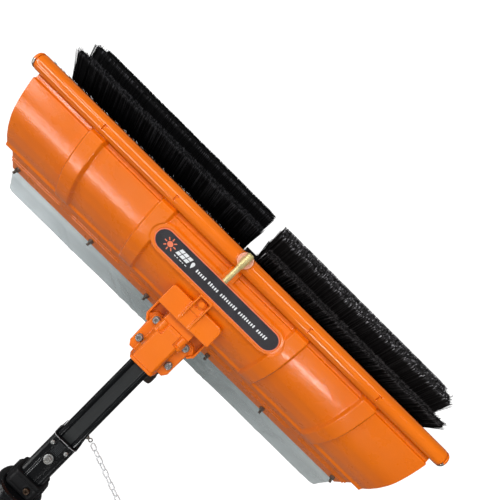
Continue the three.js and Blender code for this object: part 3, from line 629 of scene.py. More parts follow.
def paint(name, base, peel, rough, wavy, specular, coat, coat_rough=0.10,
          specks=True, edge_highlight=None, boss_top_highlight=None):
    """Orange paint. peel and wavy are the strengths of the fine and broad bumps."""
    shader = Shader(name)
    wide = shader.noise(scale=9, detail=3, rough=0.55)
    fine = shader.noise(scale=420)
    colour = shader.mix(shader.ramp(wide, over=(0.25, 0.8), to=(0.0, 0.35)), base, ORANGE_DEEP)
    if specks:
        cell = shader.cells(scale=55)
        gate = shader.noise(scale=14)
        spot = shader.multiply(
            shader.ramp(cell, over=(0.035, 0.065), to=(1.0, 0.0)),
            shader.ramp(gate, over=(0.60, 0.66)),
        )
        strength = 0.65
        colour = shader.mix(shader.multiply(spot, strength), colour, srgb(92, 40, 16))
    if edge_highlight is not None:
        # sharp convex edges are painted paler orange in patches: a painted edge highlight
        pointiness = shader.add("NewGeometry").outputs["Pointiness"]
        edge_highlight_mask = shader.multiply(
            shader.ramp(pointiness, over=(0.53, 0.60)),
            shader.ramp(shader.noise(scale=160, detail=3, rough=0.6), over=(0.45, 0.62)),
        )
        colour = shader.mix(shader.multiply(edge_highlight_mask, edge_highlight), colour, srgb(250, 160, 96))
    if boss_top_highlight is not None:
        # the top of the inlet boss is painted pale salmon: a painted highlight
        height = shader.axes()[2]
        colour = shader.mix(shader.ramp(height, over=(0.0805, 0.0815)), colour, boss_top_highlight)
    shader.set("Base Color", colour)
    blotches = shader.noise(scale=30, detail=3, rough=0.6)
    roughness = shader.ramp(blotches, over=(0.3, 0.75), to=(rough - 0.04, rough + 0.09))
    shader.set("Roughness", roughness)
    shader.set("Specular IOR Level", specular)
    shader.set("Coat Weight", coat)
    shader.set("Coat Roughness", coat_rough)
    peel_normal = shader.bump(fine, strength=peel, distance=0.0006)
    waves = shader.noise(scale=75)
    normal = shader.bump(waves, strength=wavy, distance=0.002, normal=peel_normal)
    shader.set("Normal", normal)
    shader.set("Coat Normal", normal)
    return shader.material


def metal(name, base, rough, bump, dirt=None, metallic=1.0, streak=(1, 1, 1)):
    """Brushed metal. streak scales the brushing noise along x, y and z."""
    shader = Shader(name)
    brushed = shader.noise(scale=260, detail=4, rough=0.6, stretch=streak)
    patches = shader.noise(scale=120, detail=3, rough=0.6)
    darker = tuple(channel * 0.55 for channel in base)
    colour = shader.mix(shader.ramp(patches, over=(0.35, 0.7), to=(0.0, 0.45)), base, darker)
    if dirt is not None:
        grime = shader.noise(scale=70, detail=4, rough=0.65)
        colour = shader.mix(shader.ramp(grime, over=(0.52, 0.68), to=(0.0, 0.8)), colour, dirt)
    shader.set("Base Color", colour)
    shader.set("Metallic", metallic)
    roughness = shader.ramp(brushed, over=(0.3, 0.7), to=(rough - 0.07, rough + 0.12))
    shader.set("Roughness", roughness)
    shader.set("Normal", shader.bump(brushed, strength=bump, distance=0.0004))
    return shader.material


def plastic(name, base, rough, grain, bump, variation, specular=0.5):
    """Plain plastic. grain is the scale of the surface texture."""
    shader = Shader(name)
    patches = shader.noise(scale=40, detail=3, rough=0.6)
    lighter = tuple(min(1, channel * 1.9 + 0.004) for channel in base)
    patches = shader.ramp(patches, over=(0.3, 0.75), to=(0.0, variation))
    shader.set("Base Color", shader.mix(patches, base, lighter))
    blotches = shader.noise(scale=90, detail=3, rough=0.6)
    roughness = shader.ramp(blotches, over=(0.3, 0.7), to=(rough - 0.05, rough + 0.1))
    shader.set("Roughness", roughness)
    shader.set("Coat Roughness", 0.06)
    shader.set("Specular IOR Level", specular)
    texture = shader.noise(scale=grain, detail=3)
    shader.set("Normal", shader.bump(texture, strength=bump, distance=0.0004))
    return shader.material


def pole_material():
    shader = Shader("anodised_black")
    x, _, z = shader.axes()
    lines = shader.noise(scale=900, detail=3, rough=0.6, stretch=(1, 0.02, 1))
    patches = shader.ramp(shader.noise(scale=60, detail=3, rough=0.6), over=(0.3, 0.7))
    colour = shader.mix(patches, (0.0030, 0.0034, 0.0040), (0.0055, 0.0062, 0.0070))
    # the channel floor is a little lighter and rougher than the beads
    width = shader.ramp(shader.calc("ABSOLUTE", x), over=(0.0080, 0.0094), to=(1.0, 0.0))
    floor = shader.multiply(width, shader.ramp(z, over=(0.009, 0.0098)))
    below = shader.ramp(z, over=(0.0108, 0.0116), to=(1.0, 0.0))
    floor = shader.multiply(floor, below)
    grain = shader.noise(scale=500, stretch=(1, 0.05, 1))
    floor_colour = shader.mix(grain, (0.019, 0.0205, 0.021), (0.030, 0.032, 0.033))
    shader.set("Base Color", shader.mix(floor, colour, floor_colour))
    shader.set("Metallic", 0.0)
    shader.set("Specular IOR Level", 0.42)
    bead_rough = shader.ramp(lines, over=(0.3, 0.7), to=(0.13, 0.22))
    extra_rough = 0.24
    rough = shader.calc("ADD", bead_rough, shader.multiply(floor, extra_rough))
    shader.set("Roughness", rough)
    shader.set("Normal", shader.bump(lines, strength=0.10, distance=0.0003))
    return shader.material


def apron_material():
    """Cloudy sheet, palest at the left end and darkest near the middle."""
    shader = Shader("clear_grey_pvc")
    x = shader.axes()[0]
    cloud = shader.noise(scale=6, detail=3, rough=0.55)
    left_tone = shader.ramp(x, over=(-0.38, 0.05))
    colour = shader.mix(left_tone, srgb(232, 240, 242), srgb(142, 150, 149))
    colour = shader.mix(shader.ramp(x, over=(0.05, 0.34)), colour, srgb(194, 200, 199))
    cloud = shader.ramp(cloud, over=(0.3, 0.75), to=(0.0, 0.5))
    colour = shader.mix(cloud, colour, srgb(188, 198, 200))
    scuffs = shader.noise(scale=40, detail=4, rough=0.7, stretch=(0.3, 1, 1))
    scuff_strength = 0.25
    scuffs = shader.multiply(shader.ramp(scuffs, over=(0.60, 0.72)), scuff_strength)
    shader.set("Base Color", shader.mix(scuffs, colour, srgb(225, 230, 228)))
    blotches = shader.noise(scale=25, detail=3, rough=0.6)
    shader.set("Roughness", shader.ramp(blotches, over=(0.3, 0.75), to=(0.10, 0.24)))
    shader.set("Transmission Weight", 0.6)
    shader.set("IOR", 1.45)
    shader.set("Coat Weight", 0.5)
    shader.set("Coat Roughness", 0.05)
    ripples = shader.noise(scale=30, stretch=(1, 0.6, 0.6))
    shader.set("Normal", shader.bump(ripples, strength=0.25, distance=0.003))
    return shader.material


def bristle_material(name, dark, tip):
    """Reads three vertex attributes: tipness along a strand, strand tone and tip glow; the lighter
    tones, pale tips and white glints are painted light.
    """
    shader = Shader(name)
    tipness = shader.attribute("tipness")
    strand = shader.attribute("strand")
    glow = shader.attribute("glow")
    # strands run from the black to a lighter grey by random tone and by painted light on lit rows
    worn_and_lit = tuple(channel * 6.0 + 0.020 for channel in dark)
    colour = shader.mix(shader.calc("MINIMUM", strand, 1.0), dark, worn_and_lit)
    # tips are mixed towards the tip colour: a painted tip highlight
    light = shader.multiply(
        shader.ramp(tipness, over=(0.90, 1.0)), shader.calc("MINIMUM", glow, 1.0)
    )
    colour = shader.mix(light, colour, tip)
    # glow over 1.8 gives a painted glint at the end, strand over 1.5 a strand painted bright all
    # along
    glint = shader.multiply(
        shader.ramp(tipness, over=(0.86, 0.94)), shader.calc("GREATER_THAN", glow, 1.8)
    )
    glint = shader.calc("MAXIMUM", glint, shader.calc("GREATER_THAN", strand, 1.5))
    shader.set("Base Color", shader.mix(glint, colour, (0.80, 0.81, 0.83)))
    blotches = shader.noise(scale=700)
    shader.set("Roughness", shader.ramp(blotches, over=(0.3, 0.7), to=(0.50, 0.70)))
    shader.set("Specular IOR Level", 0.14)
    grain = shader.noise(scale=1500, stretch=(1, 0.1, 0.1))
    shader.set("Normal", shader.bump(grain, strength=0.2, distance=0.0003))
    return shader.material


def label_material():
    shader = Shader("label_charcoal")
    patches = shader.ramp(shader.noise(scale=18, detail=3, rough=0.6), over=(0.3, 0.75))
    colour = shader.mix(patches, srgb(44, 42, 46), srgb(60, 58, 62))
    specks = shader.ramp(shader.noise(scale=1100), over=(0.5, 0.8), to=(0.0, 0.25))
    shader.set("Base Color", shader.mix(specks, colour, srgb(100, 100, 106)))
    blotches = shader.noise(scale=60, detail=3, rough=0.6)
    shader.set("Roughness", shader.ramp(blotches, over=(0.3, 0.7), to=(0.42, 0.55)))
    shader.set("Specular IOR Level", 0.22)
    shader.set("Normal", shader.bump(shader.noise(scale=900), strength=0.12, distance=0.0003))
    return shader.material


def plug_material():
    """Bare metal towards -y, with paint left on the rest."""
    shader = Shader("plug_worn_paint")
    y = shader.axes()[1]
    patches = shader.noise(scale=130, detail=4, rough=0.65)
    side = shader.ramp(y, over=(0.5385, 0.5500))
    patch_share, side_share = 0.6, 0.55
    cover = shader.calc(
        "ADD", shader.multiply(patches, patch_share), shader.multiply(side, side_share)
    )
    worn_and_lit = shader.ramp(cover, over=(0.52, 0.62), to=(1.0, 0.0))
    shader.set("Base Color", shader.mix(worn_and_lit, ORANGE, srgb(216, 214, 208)))
    shader.set("Metallic", worn_and_lit)
    shader.set("Roughness", shader.ramp(patches, over=(0.3, 0.7), to=(0.22, 0.42)))
    shader.set("Normal", shader.bump(patches, strength=0.25, distance=0.0008))
    return shader.material


COVER = paint("moulded_orange", ORANGE, peel=0.22, rough=0.28, wavy=0.10, specular=0.35,
              coat=0.6, coat_rough=0.07)
# the tube paint's pale boss top is a painted highlight
TUBE = paint("tube_orange", TUBE_ORANGE, peel=0.03, rough=0.13, wavy=0.0, specular=0.6,
             coat=0.42, specks=False, boss_top_highlight=srgb(246, 176, 146))
# the cast paint carries a painted edge highlight
CAST = paint("cast_orange", CAST_ORANGE, peel=0.10, rough=0.30, wavy=0.10, specular=0.45,
             coat=0.315, edge_highlight=0.5)
STEEL = metal("bright_steel", srgb(196, 197, 195), rough=0.26, bump=0.12, metallic=0.7)
DULL = metal("dull_steel", srgb(150, 144, 136), rough=0.38, bump=0.25,
             dirt=srgb(84, 66, 54), metallic=0.75)
BROWN_STEEL = metal("brown_steel", srgb(120, 100, 84), rough=0.36, bump=0.25,
                    dirt=srgb(52, 36, 28))
CHAIN = metal("chain_plate", srgb(236, 238, 240), rough=0.34, bump=0.08, metallic=0.35)
BRASS = metal("brass", srgb(240, 220, 156), rough=0.30, bump=0.06, metallic=0.5,
              streak=(1, 0.15, 1))
RUBBER = plastic("seal_rubber", (0.012, 0.012, 0.012), rough=0.62, grain=500, bump=0.3,
                 variation=0.5)
BLACK = plastic("black_plastic", (0.006, 0.006, 0.0066), rough=0.42, grain=420, bump=0.18,
                variation=0.5, specular=0.2)
BROWN_BLACK = plastic("brown_black_plastic", srgb(44, 34, 26), rough=0.50, grain=260,
                      bump=0.3, variation=0.5)
# the seal is coloured pale salmon to carry on the painted highlight of the inlet boss
SEAL_PAINTED_HIGHLIGHT = plastic("seal_ring_painted_highlight", srgb(232, 172, 146), rough=0.35, grain=500, bump=0.15,
               variation=0.2)
GLOSS = plastic("gloss_black", (0.0030, 0.0034, 0.0040), rough=0.20, grain=600, bump=0.02,
                variation=0.3, specular=0.34)
DARK_CASE = plastic("case_black", (0.006, 0.006, 0.0065), rough=0.6, grain=420, bump=0.25,
                    variation=0.6, specular=0.2)
ANODISED = pole_material()
APRON = apron_material()
# the tip colours are painted tip highlights; the right half's lighter black and brighter tips are
# painted light
BRISTLE = {
    LEFT: bristle_material("bristle_black", (0.0022, 0.0021, 0.0025), srgb(104, 104, 108)),
    RIGHT: bristle_material("bristle_warm_black", (0.0048, 0.0040, 0.0040), srgb(205, 203, 208)),
}
WHITE = plastic("print_white", srgb(226, 228, 230), rough=0.42, grain=500, bump=0.1,
                variation=0.05)
SALMON = plastic("print_salmon", srgb(238, 120, 82), rough=0.40, grain=500, bump=0.1,
                 variation=0.15)
LABEL = label_material()
PLUG = plug_material()
# light greys for the sleeve's ribs, dots and mouth bead: painted highlights on the black sleeve
SLEEVE_HIGHLIGHT_GREY = plastic("sleeve_highlight_grey", srgb(140, 142, 144), rough=0.30, grain=500, bump=0.05,
               variation=0.4)
SLEEVE_FAINT_HIGHLIGHT_GREY = plastic("sleeve_faint_highlight", srgb(58, 60, 62), rough=0.30, grain=500, bump=0.05,
                    variation=0.4)

# ---------------------------------------------------------------- moulded cover
# Cover section as (y, z): the arc from the spray tube to the bead, then the straight skirt
ARC = [
    [-10.8, 105.5], [-16, 104.4], [-23, 102.3], [-31, 99.4], [-42, 95.1], [-52, 90.4],
    [-60.5, 86], [-68.6, 81], [-76.6, 75], [-84, 68], [-92, 60], [-99, 51.4],
    [-105.8, 42.7], [-111.6, 33.4], [-114.6, 26.8], [-115.6, 20],
]
SKIRT = [[-118.6, 8], [-123.8, -3.2], [-130, -14], [-141.8, -32.9], [-153.5, -51.7]]
COVER_REGION = [[40, 106]] + ARC + SKIRT + [[-150, -60], [40, -60]]
BEAD_Y, BEAD_Z = -114.9, 22.8
COVER_HALF = 380.0
RIB_X = (-262.0, -128.0, 128.0, 262.0)
WINDOW_HALF = 45.0
WALL = 2.9

# (y, z) of a point on the flat skirt, the direction down it and the way out of it
SKIRT_START = np.array(SKIRT[2], float)
SKIRT_DOWN = np.array([-0.529, -0.849])
SKIRT_OUT = np.array([SKIRT_DOWN[1], -SKIRT_DOWN[0]])

# Label platform: a tilted stadium with a shallow pocket
PAD_LENGTH, PAD_WIDTH = 247.0, 47.5
PAD_Y, PAD_Z = -45.4, 93.5
PAD_TILT = math.radians(23.2)
PAD_ALONG = np.array([math.cos(PAD_TILT), math.sin(PAD_TILT)])
PAD_NORMAL = np.array([-math.sin(PAD_TILT), math.cos(PAD_TILT)])
LABEL_LENGTH, LABEL_WIDTH = 233.0, 34.5

TUBE_Y, TUBE_Z, TUBE_RADIUS, TUBE_HALF = 6.5, 108.0, 12.5, 386.5


def stadium_distance(x, across, length, width):
    straight = length / 2 - width / 2
    return np.hypot(np.maximum(np.abs(x) - straight, 0), across) - width / 2


def cover_columns():
    """Stations along x, closer together at the ribs, platform ends, bridge and cover ends."""
    stations = [np.arange(-COVER_HALF, 380.1, 4.0)]
    for side in (LEFT, RIGHT):
        for rib in RIB_X:
            stations.append(rib + side * np.arange(8.5, 19.1, 0.7))
        stations.append(side * np.arange(98.0, 127.0, 0.9))
        stations.append(side * np.arange(374.0, 380.05, 0.6))
        stations.append(side * np.arange(8.0, 14.0, 0.6))
        stations.append(np.array([side * WINDOW_HALF]))
    stations = np.unique(np.round(np.concatenate(stations), 2))
    return stations[np.concatenate([[True], np.diff(stations) > 0.25])]


def make_cover():
    main = spline(ARC[1:] + SKIRT, 0.9)
    # gutter beside the spray tube, then the main surface; rows are y, z, corner radius
    lip_rows = [(-3.6, 96.2, 0), (-3.6, 98.4, 1.0), (-7.6, 100.3, 2.0),
                (-13.4, 100.5, 1.2), (-15.2, 104.6, 1.0), (*(main[0] + [-2.0, -0.5]), 0)]
    lip = resample(rounded(lip_rows, 5), 30)
    keep = main[:, 0] < lip[-1, 0] - 0.5
    section = np.concatenate([lip, main[keep]])
    normals = np.concatenate([curve_normals(lip), curve_normals(main)[keep]])
    rows = len(section)
    y, z = section[:, 0], section[:, 1]

    # the bead and two ridges along the skirt
    bead_gap = np.hypot(y - BEAD_Y, z - BEAD_Z)
    height = 4.6 * np.exp(-((bead_gap / 3.2) ** 2)) + 1.1 * np.exp(-((bead_gap / 7.0) ** 2))
    down = (section - SKIRT_START) @ SKIRT_DOWN
    for ridge in (10.1, 18.1):
        height = height + np.where(z < -10, 1.5 * smoothstep(-2.2, -1.0, -np.abs(down - ridge)), 0)

    columns = cover_columns()
    x = columns[:, None] * np.ones((1, rows))
    outer_y = y[None, :] + normals[None, :, 0] * height[None]
    outer_z = z[None, :] + normals[None, :, 1] * height[None]

    # cross ribs stand over everything from the spray tube to the bead
    bead_row = int(np.argmin(bead_gap))
    row = np.arange(rows)
    fade = np.where(row <= bead_row, 1.0, np.clip(1 - (row - bead_row - 9) / 4.0, 0, 1))
    rib = np.zeros_like(x)
    for centre in RIB_X:
        rib = np.maximum(rib, smoothstep(15.9, 10.8, np.abs(x - centre)))
    # they follow the plain arc carried on over the gutter
    plain_z = np.interp(-y, [7.0, 10.8, 16, 23], [104.9, 105.2, 104.4, 102.3])
    lift = np.where(y > -17, np.maximum(plain_z - z, 0), 0)
    nose = smoothstep(-7.4, -10.5, y)
    rib_height = (6.3 * nose + 1.0 * (1 - nose)) * fade
    upward = smoothstep(-24, -17, y)[:, None]
    rib_normals = normals * (1 - upward) + np.array([-0.24, 0.97]) * upward
    rib_normals /= np.linalg.norm(rib_normals, axis=1)[:, None]
    rib_y = (y + rib_normals[:, 0] * rib_height)[None]
    rib_z = (z + lift + rib_normals[:, 1] * rib_height)[None]
    outer_y = outer_y * (1 - rib) + rib_y * rib
    outer_z = outer_z * (1 - rib) + np.maximum(rib_z, outer_z) * rib

    # label platform, reached along the section normals
    pad_origin = np.array([PAD_Y, PAD_Z]) + 4.2 * PAD_NORMAL
    facing = normals @ PAD_NORMAL
    reach = (pad_origin - section) @ PAD_NORMAL
    pad_height = np.where(facing > 0.3, reach / np.where(facing > 0.3, facing, 1), 0)
    across = ((section + normals * pad_height[:, None] - pad_origin) @ PAD_ALONG)[None]
    pad_gap = stadium_distance(x, across, PAD_LENGTH, PAD_WIDTH)
    pad = smoothstep(1.1, -1.3, pad_gap) * (facing > 0.5)[None] * (y < -16.5)[None]
    pocket_gap = stadium_distance(x, across, LABEL_LENGTH + 0.6, LABEL_WIDTH + 0.6)
    pad_height = pad_height[None] - 0.9 * smoothstep(0.5, -0.2, pocket_gap)
    pad_y = y[None, :] + normals[None, :, 0] * pad_height
    pad_z = z[None, :] + normals[None, :, 1] * pad_height
    outer_y = outer_y * (1 - pad) + pad_y * pad
    outer_z = outer_z * (1 - pad) + pad_z * pad

    # bridge under the hose elbow, from the gutter to the platform
    bridge_part = smoothstep(10.4, 8.6, np.abs(x)) * smoothstep(-33, -29, y)[None]
    bridge_z = np.interp(-y, [7, 8.6, 11, 22, 30, 34], [106.2, 108.3, 109.8, 107.0, 103.0, 99])
    bridge_z = np.maximum(bridge_z[None], outer_z)
    outer_z = outer_z * (1 - bridge_part) + bridge_z * bridge_part

    # keep clear of the spray tube
    clear = TUBE_RADIUS + 0.25
    from_tube_y, from_tube_z = outer_y - TUBE_Y, outer_z - TUBE_Z
    gap = np.hypot(from_tube_y, from_tube_z)
    push = np.where(gap < clear, clear / np.maximum(gap, 1e-6), 1.0)
    outer_y, outer_z = TUBE_Y + from_tube_y * push, TUBE_Z + from_tube_z * push
    # a slight unevenness, as on a moulding
    uneven = 0.10 * np.sin(x / 23.0 + 1.0) * np.sin(y[None] / 17.0) * (np.abs(x) < 372)
    outer = np.stack([x, outer_y, outer_z + uneven], -1)

    # the inner face follows the plain wall
    inside = section - normals * WALL
    drop = np.array([0, -2.6]) * np.linspace(0.35, 1, len(lip))[:, None]
    inside[: len(lip)] = lip + drop - normals[: len(lip)] * 0.4
    inside[:, 1] = np.where(y > -15.5, np.minimum(inside[:, 1], 98.4), inside[:, 1])
    # and is thicker at both ends of the arc
    hem = smoothstep(374.4, 375.2, np.abs(x)) * (z > 18)[None] * (y < -12)[None]
    inner_y = inside[None, :, 0] - (normals[:, 0] * 1.8)[None] * hem
    inner_z = inside[None, :, 1] - (normals[:, 1] * 1.8)[None] * hem
    inner = np.stack([x, inner_y, inner_z], -1)

    # leave a window in the middle of the -y side, over the housing
    in_window = (y < -86) & (y > -113.6) & (z > 30)
    first_row = np.argmax(in_window)
    last_row = rows - 1 - np.argmax(in_window[::-1])
    first_column = int(np.argmin(np.abs(columns + WINDOW_HALF)))
    last_column = int(np.argmin(np.abs(columns - WINDOW_HALF)))
    faces = grid_quads(len(columns), rows)
    column, row = faces[:, 0] // rows, faces[:, 0] % rows
    hole = (column >= first_column) & (column < last_column)
    hole &= (row >= first_row) & (row < last_row)
    faces = faces[~hole]
    # wind the outer faces by comparing the middle one with its section normal
    sample = faces[len(faces) // 2]
    corner, second, third = outer.reshape(-1, 3)[sample[:3]]
    facing = np.cross(second - corner, third - corner)
    normal = normals[sample[0] % rows]
    if facing[1] * normal[0] + facing[2] * normal[1] < 0:
        faces = faces[:, ::-1]

    # wall every rim, with a middle line pushed out so that the rim is rounded
    count = len(columns) * rows
    rim = rim_edges(faces, count)
    rim_ids = np.unique(rim)
    middle_of = -np.ones(count, int)
    middle_of[rim_ids] = np.arange(len(rim_ids)) + 2 * count
    middle = ((outer + inner) / 2).reshape(-1, 3)[rim_ids]
    column, row = rim_ids // rows, rim_ids % rows
    middle[column == 0, 0] -= 0.2
    middle[column == len(columns) - 1, 0] += 0.2
    middle[row == rows - 1, 1:] += SKIRT_DOWN * 0.5
    start, end = rim[:, 0], rim[:, 1]
    outer_wall = np.stack([end, start, middle_of[start], middle_of[end]], 1)
    inner_wall = np.stack([middle_of[end], middle_of[start], start + count, end + count], 1)
    points = np.concatenate([outer.reshape(-1, 3), inner.reshape(-1, 3), middle])
    quads = np.concatenate([faces, faces[:, ::-1] + count, outer_wall, inner_wall])
    return mesh_object("cover_moulding", points, [quads], COVER, sharp=50)


register(make_cover(), "head", "cover_orange", "cover_shell")

# ---------------------------------------------------------------- spray tube and inlet
INLET_X = -1.6
INLET_OFFSET = 3.4
INLET_Y = TUBE_Y + INLET_OFFSET
SLOT_X = (-261.0, -127.5, 126.5, 259.0)
BORE = 9.8


def tube_field(x, y, z):
    tube = np.hypot(y - TUBE_Y, z - TUBE_Z) - TUBE_RADIUS
    boss = np.hypot(x - INLET_X, y - TUBE_Y - INLET_OFFSET) - 11.5
    body = join(tube, extrude(boss, z, TUBE_Z, 124.0, 1.3), 3.0)
    for slot in SLOT_X:
        # a narrow slot across the tube with a short return at its +y end
        point = (x, y, z)
        cross = box(point, (slot - 1.3, slot + 0.7), (-1.6, 8.4), (TUBE_Z + 8.6, TUBE_Z + 16), 0.4)
        back = box(point, (slot - 1.3, slot + 3.2), (6.9, 8.4), (TUBE_Z + 9.6, TUBE_Z + 16), 0.4)
        body = carve(body, np.minimum(cross, back), 0.35)
    return body


def make_tube():
    end_insets = np.array([0, 0.25, 0.7, 1.3, 2.0, 3.0])
    stations = [np.arange(-380, 380.1, 5.0), -TUBE_HALF + end_insets, TUBE_HALF - end_insets]
    stations.append(np.arange(-19, 19.01, 0.4))
    for slot in SLOT_X:
        stations.append(slot + np.arange(-5.2, 5.21, 0.4))
    stations = np.unique(np.round(np.concatenate(stations), 2))
    segments = 144
    angle = np.arange(segments) / segments * 2 * math.pi
    x = stations[:, None] * np.ones((1, segments))
    cosine, sine = np.cos(angle)[None], np.sin(angle)[None]

    # march inwards for the first hit, then bisect
    outside, inside = np.full(x.shape, 26.0), np.full(x.shape, 5.0)
    found = np.zeros(x.shape, bool)
    for radius in np.arange(26.0, 8.0, -0.5):
        solid = tube_field(x, TUBE_Y + radius * cosine, TUBE_Z + radius * sine) < 0
        hit = solid & ~found
        inside[hit] = radius
        outside[hit] = radius + 0.5
        found |= hit
    for _ in range(12):
        middle = (inside + outside) / 2
        solid = tube_field(x, TUBE_Y + middle * cosine, TUBE_Z + middle * sine) < 0
        inside = np.where(solid, middle, inside)
        outside = np.where(solid, outside, middle)
    radius = (inside + outside) / 2
    # rounded ends
    inset = TUBE_HALF - np.abs(x)
    shrink = (3.0 - np.sqrt(np.maximum(9.0 - (3.0 - inset) ** 2, 0))) * 0.75
    radius = np.where(inset < 3.0, radius - shrink, radius)
    skin = np.stack([x, TUBE_Y + radius * cosine, TUBE_Z + radius * sine], -1).reshape(-1, 3)
    bore = [
        np.stack([np.full(segments, end), TUBE_Y + BORE * cosine[0], TUBE_Z + BORE * sine[0]], -1)
        for end in (stations[0], stations[-1])
    ]
    ring = np.arange(segments)
    last_ring = ring + len(skin) - segments
    left_bore = ring + len(skin)
    right_bore = left_bore + segments
    piece = Piece()
    piece.add(
        np.concatenate([skin] + bore),
        grid_quads(len(stations), segments, close_columns=True, flip=True),
        bridge(left_bore, ring),
        bridge(last_ring, right_bore),
        bridge(right_bore, left_bore),
    )
    piece.show("spray_tube_body", TUBE, 40, "head", "tube_orange", "spray_tube")


def make_end_plug(side):
    # rows of a turned profile: radius, height, corner radius
    profile = [(0, 6.3, 0), (6.6, 6.2, 2), (10.6, 4.6, 2), (12.0, 2.4, 0.8), (12.0, 0.35, 0.3),
               (9.5, 0.35, 0.1), (9.5, -11.5, 0.6), (8.6, -12.5, 0.3), (0, -12.5, 0)]
    disc = [(0, 6.45), (2.9, 6.45), (3.3, 6.3), (3.3, 5.9), (0, 5.9)]
    axes = (UNIT_Y, UNIT_Z * side, UNIT_X * side)
    centre = (side * TUBE_HALF, TUBE_Y, TUBE_Z)
    piece = Piece()
    piece.lathe(rounded(profile), axes, centre, 72)
    piece.lathe(disc, axes, centre, 24)
    name = SIDE_NAMES[side]
    node = "tube_plug_" + name
    piece.show("tube_end_plug_" + name, PLUG, 35, "head", "bright_steel", node)


def make_elbow():
    # the barbed spigot points along -y with a slight lean
    lean = math.radians(-1.0)
    along = np.array([math.sin(lean), -math.cos(lean), 0])
    across = np.array([math.cos(lean), math.sin(lean), 0])
    profile = [(0, -11.9, 0), (3.6, -11.9, 1.0), (5.45, -10.0, 1.2), (5.45, 10.3, 0.4),
               (5.0, 11.0, 0.2), (4.2, 11.0, 0.2), (4.1, 12.0, 0.3), (4.1, 15.0, 0.2)]
    for barb in (15.0, 22.0, 29.0):
        profile += [(4.28, barb + 0.5, 0.2), (4.02, barb + 6.6, 0.2)]
    profile += [(4.2, 36.4, 0.2), (4.2, 38.6, 0.5), (3.7, 39.4, 0.3), (2.7, 39.4, 0.2),
                (2.7, 20.0, 0.4), (0, 19.0, 0)]
    stem = [(0, 123.9, 0), (4.95, 123.9, 0.3), (4.95, 131.4, 0.3), (0, 131.4, 0)]
    nut = [(0, 126.1), (6.9, 126.1), (7.25, 126.4), (7.25, 127.7), (6.9, 128.0), (0, 128.0)]
    inlet = (INLET_X, INLET_Y, 0)
    piece = Piece()
    axes = (across, np.cross(along, across), along)
    piece.lathe(rounded(profile), axes, (INLET_X, INLET_Y, 131.4))
    piece.lathe(rounded(stem, 3), ABOUT_Z, inlet, 48)
    piece.lathe(nut, ABOUT_Z, inlet, 48, hex_rings=(1, 2, 3, 4), turn=0.26)
    piece.show("hose_elbow", BRASS, 32, "head", "brass", "inlet_elbow")

    # the seal ring is coloured pale, part of the painted highlight round the elbow
    seal = [(5.4, 124.3, 0), (8.1, 124.3, 0.5), (8.1, 125.8, 0.5), (5.4, 125.8, 0.2),
            (5.4, 124.3, 0)]
    piece = Piece()
    piece.lathe(rounded(seal), ABOUT_Z, inlet, 48)
    piece.show("elbow_seal", SEAL_PAINTED_HIGHLIGHT, 40, "head", "seal_rubber", "inlet_washer")


make_tube()
make_end_plug(LEFT)
make_end_plug(RIGHT)
make_elbow()


# ---------------------------------------------------------------- label
def stadium_outline(length, width):
    radius, straight = width / 2, length / 2 - width / 2
    t = np.linspace(-math.pi / 2, math.pi / 2, 40)
    end = np.stack([straight + radius * np.cos(t), radius * np.sin(t)], 1)
    return np.concatenate([end, -end])


